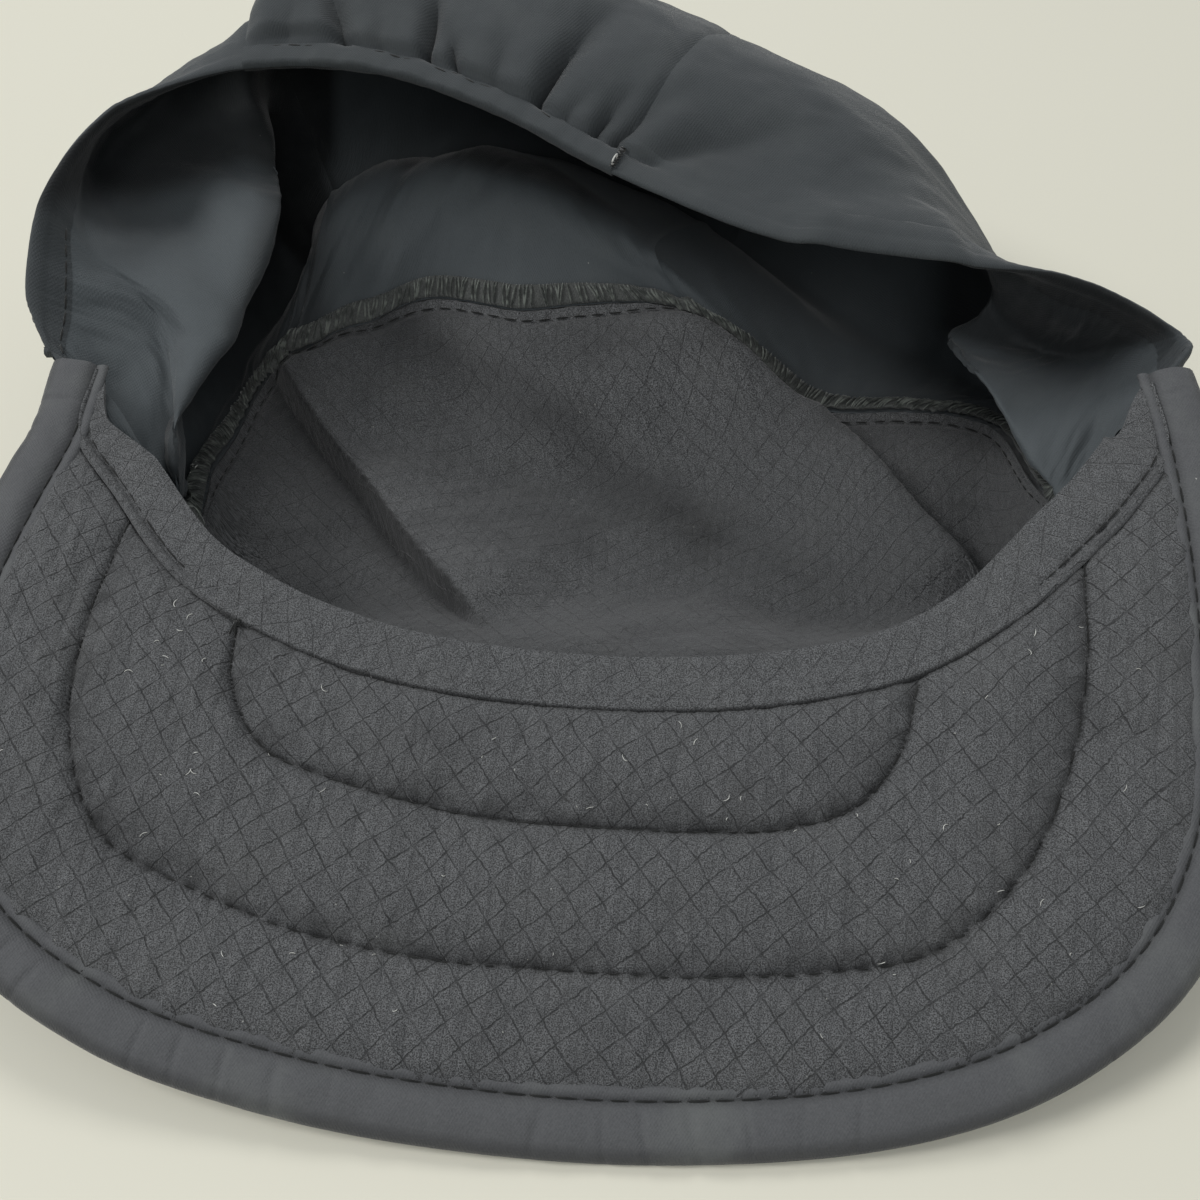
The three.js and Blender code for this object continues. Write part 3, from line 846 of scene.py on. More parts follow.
def new_group(name, inputs, outputs):
    """An empty shader group, with (name, default) inputs and output names."""
    group = bpy.data.node_groups.new(name, "ShaderNodeTree")
    group.interface.new_socket("Vector", in_out="INPUT", socket_type="NodeSocketVector")
    for label, default in inputs:
        socket = group.interface.new_socket(label, in_out="INPUT", socket_type="NodeSocketFloat")
        socket.default_value = default
    for label in outputs:
        group.interface.new_socket(label, in_out="OUTPUT", socket_type="NodeSocketFloat")
    nodes = Nodes(group)
    start = nodes.add("NodeGroupInput")
    end = nodes.add("NodeGroupOutput")
    return group, nodes, start.outputs, end


# The two slanted families of ripstop lines: the angle of the normal in degrees, and the
# period in millimetres. The third family runs through their crossings.
RIPSTOP_LINES = ((33.7, 4.06), (-52.0, 4.23))

# The periods of all three families, how strongly each shows, and the fineness of the yarns
RIPSTOP_PERIODS = (4.06, 4.23, 2.75)
RIPSTOP_SHARES = (1.0, 1.0, 0.35)
YARNS_PER_MM = 4.0


def line_phase(nodes, vector, angle, period, drift):
    """How many periods a point lies across a family of lines."""
    angle = math.radians(angle)
    dot = nodes.add("ShaderNodeVectorMath", operation="DOT_PRODUCT")
    nodes.tree.links.new(vector, dot.inputs[0])
    dot.inputs[1].default_value = (math.cos(angle) / period, math.sin(angle) / period, 0)
    return nodes.math("ADD", dot.outputs["Value"], drift)


def from_line(nodes, phase, period):
    """The distance in millimetres from the nearest line, which lies halfway through each period."""
    centred = nodes.math("SUBTRACT", nodes.math("FRACT", phase), 0.5)
    return nodes.math("MULTIPLY", nodes.math("ABSOLUTE", centred), period)


def ripstop_group():
    """Triangle ripstop over flat coordinates in millimetres: broken lines, bands beside them for a painted
    highlight, puckers and a fine weave.
    """
    inputs = (("Line Width", 0.2), ("Wander", 0.3))
    group, nodes, given, end = new_group("Triangle Ripstop", inputs, ("Lines", "Edges", "Puckers", "Weave"))
    vector = given["Vector"]
    wander = nodes.math("SUBTRACT", nodes.noise(vector, 0.045, 2.0), 0.5)
    wander = nodes.math("MULTIPLY", wander, nodes.math("MULTIPLY", given["Wander"], 4.0))
    zigzag = nodes.math("SUBTRACT", nodes.noise(vector, 0.9, 2.0, 0.7), 0.5)
    drift = nodes.math("MULTIPLY_ADD", zigzag, 0.2, wander)
    half = nodes.math("MULTIPLY", given["Line Width"], 0.5)
    phases = [line_phase(nodes, vector, angle, period, drift) for angle, period in RIPSTOP_LINES]
    phases.append(nodes.math("ADD", nodes.math("ADD", *phases), 0.5))
    outer, inner, far, near = (nodes.math("MULTIPLY", half, reach) for reach in (1.9, 0.3, 4.0, 2.2))
    lines = 0.0
    edges = 0.0
    for phase, period, share in zip(phases, RIPSTOP_PERIODS, RIPSTOP_SHARES):
        distance = from_line(nodes, phase, period)
        lines = nodes.math("MAXIMUM", lines, nodes.ramp(distance, outer, inner, 0.0, share))
        edges = nodes.math("MAXIMUM", edges, nodes.ramp(distance, far, near, 0.0, share))
    broken = nodes.ramp(nodes.noise(vector, 0.35, 2.0), 0.35, 0.6, 0.4, 1.0)
    lines = nodes.math("MULTIPLY", lines, broken)
    edges = nodes.math("MULTIPLY", edges, broken)
    bent = nodes.math("MULTIPLY_ADD", zigzag, 0.9, wander)
    ribs = nodes.ramp(from_line(nodes, nodes.math("ADD", phases[2], bent), RIPSTOP_PERIODS[2]), 0.1, 1.3)
    puckers = nodes.math("MULTIPLY", ribs, nodes.ramp(nodes.noise(vector, 0.22, 2.0), 0.35, 0.7))
    puckers = nodes.math("ADD", puckers, nodes.noise(vector, 0.42, 3.0, 0.6))
    yarns = nodes.add("ShaderNodeTexVoronoi")
    nodes.feed(yarns, Vector=vector, Scale=YARNS_PER_MM)
    shades = nodes.add("ShaderNodeSeparateColor")
    nodes.tree.links.new(yarns.outputs["Color"], shades.inputs[0])
    weave = nodes.math("SUBTRACT", shades.outputs[0], 0.5)
    weave = nodes.math("MULTIPLY_ADD", weave, 0.12, nodes.noise(vector, 4.6, 1.0, 0.8))
    nodes.feed(end, Lines=lines, Edges=edges, Puckers=puckers, Weave=weave)
    return group


def knit_group():
    """Fine stretch cloth over coordinates in millimetres: ribs crossed by a finer grain."""
    group, nodes, given, end = new_group("Fine Knit", (("Pitch", 0.55),), ("Height", "Grain"))
    drift = nodes.math("MULTIPLY", nodes.noise(given["Vector"], 0.2, 2.0), 1.6)
    split = nodes.add("ShaderNodeSeparateXYZ")
    nodes.tree.links.new(given["Vector"], split.inputs[0])
    waves_both = []
    for axis, stretch in (("X", 1.0), ("Y", 1.35)):
        turns = nodes.math("DIVIDE", split.outputs[axis], nodes.math("MULTIPLY", given["Pitch"], stretch))
        turns = nodes.math("ADD", turns, drift)
        waves_both.append(nodes.math("SINE", nodes.math("MULTIPLY", turns, 2 * math.pi)))
    height = nodes.math("MULTIPLY", *waves_both)
    nodes.feed(end, Height=height, Grain=nodes.noise(given["Vector"], 2.6, 3.0, 0.75))
    return group


def wear_group():
    """Lint specks and faint pale dust over coordinates in millimetres."""
    inputs = (("Speck Spacing", 5.0), ("Speck Size", 0.05), ("Dust", 0.4))
    group, nodes, given, end = new_group("Lint And Dust", inputs, ("Specks", "Dust"))
    scale = nodes.math("DIVIDE", 1.0, given["Speck Spacing"])
    cells = nodes.add("ShaderNodeTexVoronoi")
    bent = nodes.add("ShaderNodeVectorMath", operation="ADD")
    wobble = nodes.add("ShaderNodeTexNoise")
    nodes.feed(wobble, Vector=given["Vector"], Scale=1.1, Detail=2.0)
    nodes.tree.links.new(given["Vector"], bent.inputs[0])
    nodes.tree.links.new(wobble.outputs["Color"], bent.inputs[1])
    nodes.feed(cells, Vector=bent.outputs[0], Scale=scale)
    size = given["Speck Size"]
    specks = nodes.ramp(cells.outputs["Distance"], size, nodes.math("MULTIPLY", size, 0.4))
    split = nodes.add("ShaderNodeSeparateColor")
    nodes.tree.links.new(cells.outputs["Color"], split.inputs[0])
    specks = nodes.math("MULTIPLY", specks, nodes.ramp(split.outputs[0], 0.45, 0.6))
    dust = nodes.ramp(nodes.noise(given["Vector"], 0.06, 4.0, 0.6), 0.45, 0.75)
    nodes.feed(end, Specks=specks, Dust=nodes.math("MULTIPLY", dust, given["Dust"]))
    return group


def tinted(colour, share):
    """The colour, darker or lighter by a share."""
    return tuple(min(c * share, 1.0) for c in colour[:3]) + (1.0,)


# Linear colours beside the ones in the settings: dust and specks on ripstop and on plain cloth,
# and the darker and lighter colours of the tape, the overlock, the seam's edges and the lint
RIPSTOP_DUST = (0.16, 0.16, 0.15, 1), (0.5, 0.5, 0.46, 1)
PLAIN_DUST = (0.17, 0.18, 0.17, 1), (0.6, 0.6, 0.55, 1)
TAPE = (0.075, 0.077, 0.081, 1), (0.1, 0.102, 0.106, 1)
OVERLOCK = (0.035, 0.04, 0.036, 1), (0.17, 0.185, 0.165, 1)
SEAM_EDGE = (0.045, 0.048, 0.045, 1), (0.1, 0.105, 0.1, 1)
LINT = (0.45, 0.45, 0.42, 1), (0.7, 0.7, 0.66, 1)


class Cloths:
    """The shader groups, built once, and the materials that use them."""

    def __init__(self):
        self.groups = {}
        self.materials = {}

    def start(self, name, specular, **settings):
        """A new material, its nodes and its shader."""
        material = bpy.data.materials.new(name)
        material.use_nodes = True
        nodes = Nodes(material.node_tree)
        shader = material.node_tree.nodes["Principled BSDF"]
        nodes.feed(shader, Specular_IOR_Level=specular, **settings)
        self.materials[name] = material
        return material, nodes, shader

    def effect(self, nodes, name, build, vector, **values):
        """The outputs of a shader group, fed with its values."""
        if name not in self.groups:
            self.groups[name] = build()
        node = nodes.add("ShaderNodeGroup", node_tree=self.groups[name])
        return nodes.feed(node, Vector=vector, **values).outputs

    def shaded_and_worn(self, nodes, colour, base, vector, shade_strength, dusty, dust, **specks):
        """The colour, darkened by the painted shade in its crease attribute, with dust and lint specks over
        it.
        """
        crease = nodes.add("ShaderNodeAttribute", attribute_name="crease").outputs["Fac"]
        wear = self.effect(nodes, "Lint And Dust", wear_group, vector, **specks)
        colour = nodes.blend(nodes.math("MULTIPLY", crease, shade_strength), colour, tinted(base, 0.1))
        colour = nodes.blend(nodes.math("MULTIPLY", wear["Dust"], dusty), colour, dust[0])
        return nodes.blend(nodes.math("MULTIPLY", wear["Specks"], 0.5), colour, dust[1])

    def bump(self, nodes, shader, height):
        """Relief on the shader, from a height in millimetres."""
        bump = nodes.add("ShaderNodeBump")
        nodes.feed(bump, Strength=1.0, Distance=MM, Height=height)
        nodes.tree.links.new(bump.outputs[0], shader.inputs["Normal"])

    def ripstop(self, name, base, strength, grain):
        """Ripstop on its flat coordinates: how strongly its lines show, and how evenly its yarns."""
        material, nodes, shader = self.start(name, 0.3, Sheen_Weight=0.2, Sheen_Roughness=0.4)
        vector = nodes.millimetres(nodes.add("ShaderNodeUVMap", uv_map="cloth").outputs[0])
        cloth = self.effect(nodes, "Triangle Ripstop", ripstop_group, vector)
        colour = nodes.blend(nodes.ramp(cloth["Weave"], 0.5 - grain, 0.5 + grain),
                             tinted(base, 0.3), tinted(base, 1.75))
        edges = nodes.math("MULTIPLY", cloth["Edges"], 0.3 * strength)
        lines = nodes.math("MULTIPLY", cloth["Lines"], strength)
        # A painted highlight beside each ripstop line
        colour = nodes.blend(edges, colour, tinted(base, 1.7))
        colour = nodes.blend(lines, colour, tinted(base, 0.15))
        # Painted shade in the hollows of the puckers
        colour = nodes.blend(nodes.ramp(cloth["Puckers"], 0.3, 0.9, 0.2, 0.0), colour, tinted(base, 0.4))
        colour = self.shaded_and_worn(nodes, colour, base, vector, 0.9, 0.2, RIPSTOP_DUST,
                           Speck_Spacing=3.2, Speck_Size=0.05)
        nodes.feed(shader, Base_Color=colour, Roughness=nodes.ramp(cloth["Weave"], 0.2, 0.8, 0.6, 0.82))
        height = nodes.math("MULTIPLY", cloth["Weave"], 0.12)
        height = nodes.math("MULTIPLY_ADD", cloth["Puckers"], 0.14, height)
        height = nodes.math("MULTIPLY_ADD", cloth["Lines"], -0.2, height)
        self.bump(nodes, shader, height)
        return material

    def knit(self, name, base, lit, pitch=0.55, dusty=0.15):
        """Plain stretch cloth, on Object coordinates because its bands are gathered and rolled."""
        material, nodes, shader = self.start(name, 0.3, Sheen_Weight=0.15, Sheen_Roughness=0.4)
        vector = nodes.millimetres(nodes.add("ShaderNodeTexCoord").outputs["Object"])
        cloth = self.effect(nodes, "Fine Knit", knit_group, vector, Pitch=pitch)
        colour = nodes.blend(nodes.ramp(cloth["Grain"], 0.3, 0.7), base, lit)
        colour = self.shaded_and_worn(nodes, colour, base, vector, 1.0, dusty, PLAIN_DUST,
                           Speck_Spacing=7.0, Speck_Size=0.03)
        nodes.feed(shader, Base_Color=colour, Roughness=nodes.ramp(cloth["Grain"], 0.2, 0.8, 0.6, 0.8))
        height = nodes.math("MULTIPLY", cloth["Height"], 0.025)
        height = nodes.math("MULTIPLY_ADD", cloth["Grain"], 0.1, height)
        self.bump(nodes, shader, height)
        return material

    def thread(self, name, base, lit):
        """Twisted thread, on Object coordinates because stitches have no flat coordinates."""
        material, nodes, shader = self.start(name, 0.2, Sheen_Weight=0.3)
        place = nodes.add("ShaderNodeTexCoord").outputs["Object"]
        fuzz = nodes.noise(place, 1800.0, 2.0, 0.7)
        colour = nodes.blend(nodes.ramp(nodes.noise(place, 500.0, 2.0), 0.35, 0.7), base, lit)
        nodes.feed(shader, Base_Color=colour, Roughness=nodes.ramp(fuzz, 0.2, 0.8, 0.65, 0.9))
        self.bump(nodes, shader, nodes.math("MULTIPLY", fuzz, 0.08))
        return material


def shade(red, green, blue):
    """A linear colour from 0 to 255 display values."""
    values = [v / 255 for v in (red, green, blue)]
    return tuple(v / 12.92 if v <= 0.04045 else ((v + 0.055) / 1.055) ** 2.4 for v in values) + (1.0,)


cloths = Cloths()


def cloth_material(name):
    """The cap's own cloths and threads, each made the first time that it is asked for."""
    if name in cloths.materials:
        return cloths.materials[name]
    colours = bpy.context.scene.cap_colours
    plain, woven, thread = (tuple(c) + (1.0,) for c in (colours.plain_cloth, colours.ripstop, colours.thread))
    recipes = {
        "brim_ripstop": (cloths.ripstop, woven, 0.8, 0.15),
        "panel_ripstop": (cloths.ripstop, woven, 0.36, 0.11),
        "facing_ripstop": (cloths.ripstop, woven, 0.28, 0.13),
        "stretch_cloth": (cloths.knit, plain, tinted(plain, 1.25)),
        # The inside faces of the plain cloth: a lighter copy of the same cloth, painted light for the inside
        # of the crown.
        "stretch_lining": (cloths.knit, tinted(plain, 1.85), tinted(plain, 2.2)),
        "tape": (cloths.knit, *TAPE, 0.5, 0.8),
        "seam_edge": (cloths.knit, *SEAM_EDGE),
        "thread": (cloths.thread, thread, tinted(thread, 2.2)),
        "overlock_thread": (cloths.thread, *OVERLOCK),
        "lint": (cloths.thread, *LINT),
    }
    make, *settings = recipes[name]
    return make(name, *settings)


# Stitches and threads

def stitch_tree():
    """Lays one stitch on every point, along the point's "along" and below its "up"."""
    tree = bpy.data.node_groups.new("Stitches", "GeometryNodeTree")
    tree.interface.new_socket("Geometry", in_out="INPUT", socket_type="NodeSocketGeometry")
    sizes = (("Length", 0.0028), ("Thread Width", 0.0004), ("Unevenness", 0.12))
    for label, default in sizes:
        socket = tree.interface.new_socket(label, in_out="INPUT", socket_type="NodeSocketFloat")
        socket.default_value = default
    socket = tree.interface.new_socket("Seed", in_out="INPUT", socket_type="NodeSocketInt")
    socket.default_value = 4
    tree.interface.new_socket("Material", in_out="INPUT", socket_type="NodeSocketMaterial")
    tree.interface.new_socket("Geometry", in_out="OUTPUT", socket_type="NodeSocketGeometry")
    nodes = Nodes(tree)
    given = nodes.add("NodeGroupInput").outputs
    ball = nodes.feed(nodes.add("GeometryNodeMeshUVSphere"), Segments=8, Rings=6, Radius=0.5)
    shape = nodes.add("ShaderNodeCombineXYZ")
    nodes.feed(shape, X=given["Length"], Y=given["Thread Width"], Z=given["Thread Width"])
    sized = nodes.add("GeometryNodeTransform")
    nodes.feed(sized, Geometry=ball.outputs["Mesh"], Scale=shape.outputs[0])
    vectors = []
    for label in ("along", "up"):
        vector = nodes.add("GeometryNodeInputNamedAttribute", data_type="FLOAT_VECTOR")
        vectors.append(nodes.feed(vector, Name=label).outputs["Attribute"])
    first = nodes.add("FunctionNodeAlignRotationToVector", axis="X")
    nodes.feed(first, Vector=vectors[0])
    second = nodes.add("FunctionNodeAlignRotationToVector", axis="Z", pivot_axis="X")
    nodes.feed(second, Rotation=first.outputs[0], Vector=vectors[1])
    least = nodes.math("SUBTRACT", 1.0, given["Unevenness"])
    most = nodes.math("ADD", 1.0, given["Unevenness"])
    size = nodes.add("FunctionNodeRandomValue", data_type="FLOAT")
    nodes.put((least, most, given["Seed"]), (size.inputs[2], size.inputs[3], size.inputs["Seed"]))
    laid = nodes.add("GeometryNodeInstanceOnPoints")
    nodes.feed(laid, Points=given["Geometry"], Instance=sized.outputs[0],
               Rotation=second.outputs[0], Scale=size.outputs[1])
    real = nodes.feed(nodes.add("GeometryNodeRealizeInstances"), Geometry=laid.outputs[0])
    soft = nodes.feed(nodes.add("GeometryNodeSetShadeSmooth"), Geometry=real.outputs[0])
    coloured = nodes.add("GeometryNodeSetMaterial")
    nodes.feed(coloured, Geometry=soft.outputs[0], Material=given["Material"])
    nodes.feed(nodes.add("NodeGroupOutput"), Geometry=coloured.outputs[0])
    return tree


def lay_stitches(name, points, along, up, length, width, material):
    """A piece with one stitch of thread on each point, in millimetres."""
    mesh = bpy.data.meshes.new(name)
    mesh.from_pydata(to_frame(points).tolist(), [], [])
    for label, vectors in (("along", along), ("up", up)):
        layer = mesh.attributes.new(label, "FLOAT_VECTOR", "POINT")
        layer.data.foreach_set("vector", unit(vectors).astype(np.float32).ravel())
    piece = new_object(name, mesh)
    tree = bpy.data.node_groups.get("Stitches") or stitch_tree()
    maker = piece.modifiers.new("stitches", "NODES")
    maker.node_group = tree
    values = {"Length": length * MM, "Thread Width": width * MM, "Material": material}
    for item in tree.interface.items_tree:
        if item.in_out == "INPUT" and item.name in values:
            maker[item.identifier] = values[item.name]
    piece.update_tag()
    seen = piece.evaluated_get(bpy.context.evaluated_depsgraph_get())
    piece.modifiers.clear()
    piece.data = bpy.data.meshes.new_from_object(seen)
    piece.data.name = name
    return piece


def run_of_stitches(line_points, pitch):
    """Even places along a line of points: their points, their directions and their distances along it."""
    lengths = lengths_along(line_points)
    count = max(int(lengths[-1] / pitch), 2)
    stops = (np.arange(count) + 0.5) * lengths[-1] / count
    points, before, after = (
        points_at(stops + shift, lengths, line_points) for shift in (0, -pitch / 3, pitch / 3)
    )
    return points, unit(after - before), stops


def thread_piece(name, strands, width, material):
    """Tubes of thread along strands of points in millimetres."""
    vertices, faces, count = [], [], 0
    around = np.linspace(0, 2 * np.pi, THREAD_SIDES, endpoint=False)[:, None]
    for strand in strands:
        strand = np.asarray(strand, float)
        along = unit(np.gradient(strand, axis=0))
        across = unit(np.cross(along, THREAD_LEAN))
        ring = across[:, None] * np.cos(around) + np.cross(along, across)[:, None] * np.sin(around)
        radius = np.full(len(strand), width / 2)
        radius[[0, -1]] *= THREAD_END
        vertices.append((strand[:, None] + ring * radius[:, None, None]).reshape(-1, 3))
        faces += tube_faces(count + np.arange(len(vertices[-1])).reshape(-1, THREAD_SIDES))
        count += len(vertices[-1])
    return new_piece(name, np.concatenate(vertices), faces, material)


class CapColours(bpy.types.PropertyGroup):
    """Colours of the cap and the surface under it"""
    plain_cloth: bpy.props.FloatVectorProperty(
        name="Plain cloth", description="Colour of the stretch panels, hems and tapes",
        default=shade(53, 57, 59)[:3], subtype="COLOR", size=3, min=0, max=1)
    ripstop: bpy.props.FloatVectorProperty(
        name="Ripstop", description="Colour of the brim, facing and front panel",
        default=shade(83, 84, 85)[:3], subtype="COLOR", size=3, min=0, max=1)
    thread: bpy.props.FloatVectorProperty(
        name="Thread", description="Colour of the stitches",
        default=shade(20, 21, 20)[:3], subtype="COLOR", size=3, min=0, max=1)
    floor: bpy.props.FloatVectorProperty(
        name="Floor", description="Colour of the surface that the cap lies on",
        default=shade(222, 219, 203)[:3], subtype="COLOR", size=3, min=0, max=1)


class CapSizes(bpy.types.PropertyGroup):
    """Sizes of the cloth and its sewing"""
    cloth: bpy.props.FloatProperty(
        name="Cloth", description="Thickness of the panels' cloth",
        default=0.0006, min=0.0003, max=0.0015, unit="LENGTH", precision=4)
    stitch_pitch: bpy.props.FloatProperty(
        name="Stitch pitch", description="Distance from one stitch to the next",
        default=0.004, min=0.002, max=0.006, unit="LENGTH", precision=4)
    overlock_pitch: bpy.props.FloatProperty(
        name="Overlock pitch", description="Distance from one overlock loop to the next",
        default=0.001, min=0.0008, max=0.005, unit="LENGTH", precision=4)


def cap_sizes():
    """The sizes that are set in the panel."""
    return bpy.context.scene.cap_sizes


def fine(start, end, count):
    """Even steps from start to end."""
    return np.linspace(start, end, count)


# The front panel: its thickness, its points across and down, how far below the arched seam its
# cloth starts, as a share, and how its pattern slants with the height and is stretched
FRONT_CLOTH = 0.9
FRONT_ROWS = 250
FRONT_COLUMNS = 182
FRONT_START = 0.004
PATTERN_SLANT = (0.7, -0.5)
PATTERN_STRETCH = (1.0, 1.3)


class CAP_OT_front_panel(bpy.types.Operator):
    """Make the front panel that lies flat inside the cap"""
    bl_idname = "cap.front_panel"
    bl_label = "Front panel"

    def execute(self, context):
        down = fine(FRONT_START, 1, FRONT_COLUMNS)
        points = front_cloth(fine(0, 1, FRONT_ROWS), down)
        outside = above_floor(points + normals_of(points) * FRONT_CLOTH, OUTSIDE_LOWEST)
        flat = (points[..., :2] + points[..., 2:] * PATTERN_SLANT) * PATTERN_STRETCH
        piece = shell("front_panel_cloth", outside, points, flat, cloth_material("panel_ripstop"),
                      crease=front_painted_shade(points[..., :2], 1 - down))
        seat(piece, "ripstop", "front_panel")
        return {"FINISHED"}


# The points from the rim inwards, across the band and across the panel beyond it, and how far
# outside the crown's inner surface the middle of a band lies
BAND_COLUMNS = 26
PANEL_COLUMNS = 172
BAND_MIDDLE = 0.3

# The nodes of a panel and of the band along its rim; the band's width and thickness; its first
# and last section and the rows of points from one to the other; how the panel is held; the
# box in metres that it was cut from, and its area in square metres
CROWN_SIDES = (
    ("left_side_panel", "left_rim_hem", HEM_WIDTH, 1.4, (-HORN_ROWS, LEFT_TACK, 150),
     "draped", (0.130, 0.150), 0.0150),
    ("back_panel", "elastic_casing", CASING_WIDTH, 2.6, (LEFT_TACK, RIGHT_TACK, 130),
     "gathered", (0.190, 0.230), 0.0250),
    ("right_side_panel", "right_rim_hem", HEM_WIDTH, 1.4, (RIGHT_TACK, LAST_SECTION + HORN_ROWS, 200),
     "draped", (0.150, 0.150), 0.0170),
)


class CAP_OT_crown(bpy.types.Operator):
    """Make the crown's three panels, the two hems and the elastic casing"""
    bl_idname = "cap.crown"
    bl_label = "Crown"

    def execute(self, context):
        for panel, band, width, thickness, sections, held, cut_to, area in CROWN_SIDES:
            spans = (0, width, BAND_COLUMNS), (width, -0.25, PANEL_COLUMNS)
            grid, flat, from_rim, dark = crown_cloth(fine(*sections), *spans)
            outward = normals_of(grid)
            rest = slice(BAND_COLUMNS - 2, None)
            cloth = self.panel(panel, grid[:, rest], outward[:, rest], dark[:, rest])
            rim = slice(0, BAND_COLUMNS + 1)
            share = from_rim[:, rim] / width
            hem = self.band(band, grid[:, rim], outward[:, rim], flat[:, rim], share, thickness)
        return {"FINISHED"}

    def panel(self, node, inside, outward, dark):
        """A panel of plain cloth, its inside faces a lighter copy of the cloth as painted light, with painted
        shade in its gathers and hollows.
        """
        outside = above_floor(inside + outward * (cap_sizes().cloth / MM), OUTSIDE_LOWEST)
        inside = above_floor(inside, INSIDE_LOWEST)
        dark = np.stack((dark, np.maximum(dark, hollow_shade(inside))))
        piece = shell(node + "_cloth", outside, inside, cloth_coordinates(inside),
                      cloth_material("stretch_cloth"), cloth_material("stretch_lining"), dark)
        return seat(piece, "stretch_cloth", node)

    def band(self, node, grid, outward, flat, share, thickness):
        """A folded hem, or the elastic's casing, which is a gathered roll."""
        rolled = np.sqrt(np.clip(1 - (1 - np.minimum(share / 0.22, 1)) ** 2, 0, 1))
        body = thickness * rolled * mix(1.0, 0.6, smooth(share, 0.3, 1.0)) + 0.25
        if node == "elastic_casing":
            body *= 1 + 0.3 * waves(flat, (4.5, 12), 12.2, 2)
        else:
            body *= mix(1.0, 0.7, smooth(share, 0.25, 0.5))
        middle = grid + outward * BAND_MIDDLE
        half = outward * (body / 2)[..., None]
        # Painted shade on the band's inside faces where the hood, the lobe and the cavity are shaded
        dark = np.stack((np.zeros(share.shape), hollow_shade(middle - half)))
        piece = shell(node + "_band", middle + half, middle - half, cloth_coordinates(grid),
                      cloth_material("stretch_cloth"), crease=dark)
        return seat(piece, "stretch_cloth", node)


# The brim: its points along the seam and from there to the binding, how much longer its cloth
# is up the slope than it looks from above, and the pad's depth at its edges, with what it
# gains between them
BRIM_ROWS = 400
BRIM_COLUMNS = 114
SLOPE_STRETCH = 1.042
PAD_DEPTH = 2.4
PAD_BELLY = 0.8


class CAP_OT_brim(bpy.types.Operator):
    """Make the quilted pad of the brim"""
    bl_idname = "cap.brim"
    bl_label = "Brim"

    def execute(self, context):
        across = fine(0, 1, BRIM_COLUMNS)
        grid = brim_grid(fine(0, 1, BRIM_ROWS), across)
        depth = PAD_DEPTH + PAD_BELLY * np.sin(np.pi * across)
        lower = above_floor(grid - brim_normal(grid[..., 0]) * depth[:, None], BRIM_LOWEST)
        flat = grid[..., :2] * (1.0, SLOPE_STRETCH)
        piece = shell("brim_pad", lower, brim_surface(grid), flat, cloth_material("brim_ripstop"),
                      crease=brim_painted_shade(grid))
        seat(piece, "ripstop", "brim")
        return {"FINISHED"}


# The binding's section, clockwise from the tip of its inner fold: distance beyond the
# line of stitches and height over the brim.
BINDING_SECTION = (
    (-2.2, 0.1), (-2.15, 0.4), (-1.8, 0.7), (-1.3, 0.8), (-0.8, 0.7), (-0.3, 0.35), (0.0, 0.15),
    (0.35, 0.5), (1.0, 1.1), (2.0, 1.45), (3.2, 1.5), (4.6, 1.35), (6.0, 1.0), (7.2, 0.4), (8.0, -0.35),
    (8.4, -1.2), (8.1, -2.1), (7.2, -2.7), (5.0, -3.0), (2.5, -3.1), (-0.1, -3.0), (-0.2, -1.5),
    (-0.2, -0.2), (-1.2, -0.1), (-2.1, 0.0),
)

# The rows of points along the binding, the seam's ridge and the facing, the points round the
# ridge and across the facing, and the ridge's half width and half height
BINDING_ROWS = 900
RIDGE_ROWS = 700
FACING_ROWS = 520
RIDGE_COLUMNS = 12
FACING_COLUMNS = 26
RIDGE_SIZE = (0.9, 0.6)

# How far the facing reaches past the seam before its strip begins
FACING_TURN = 1.1


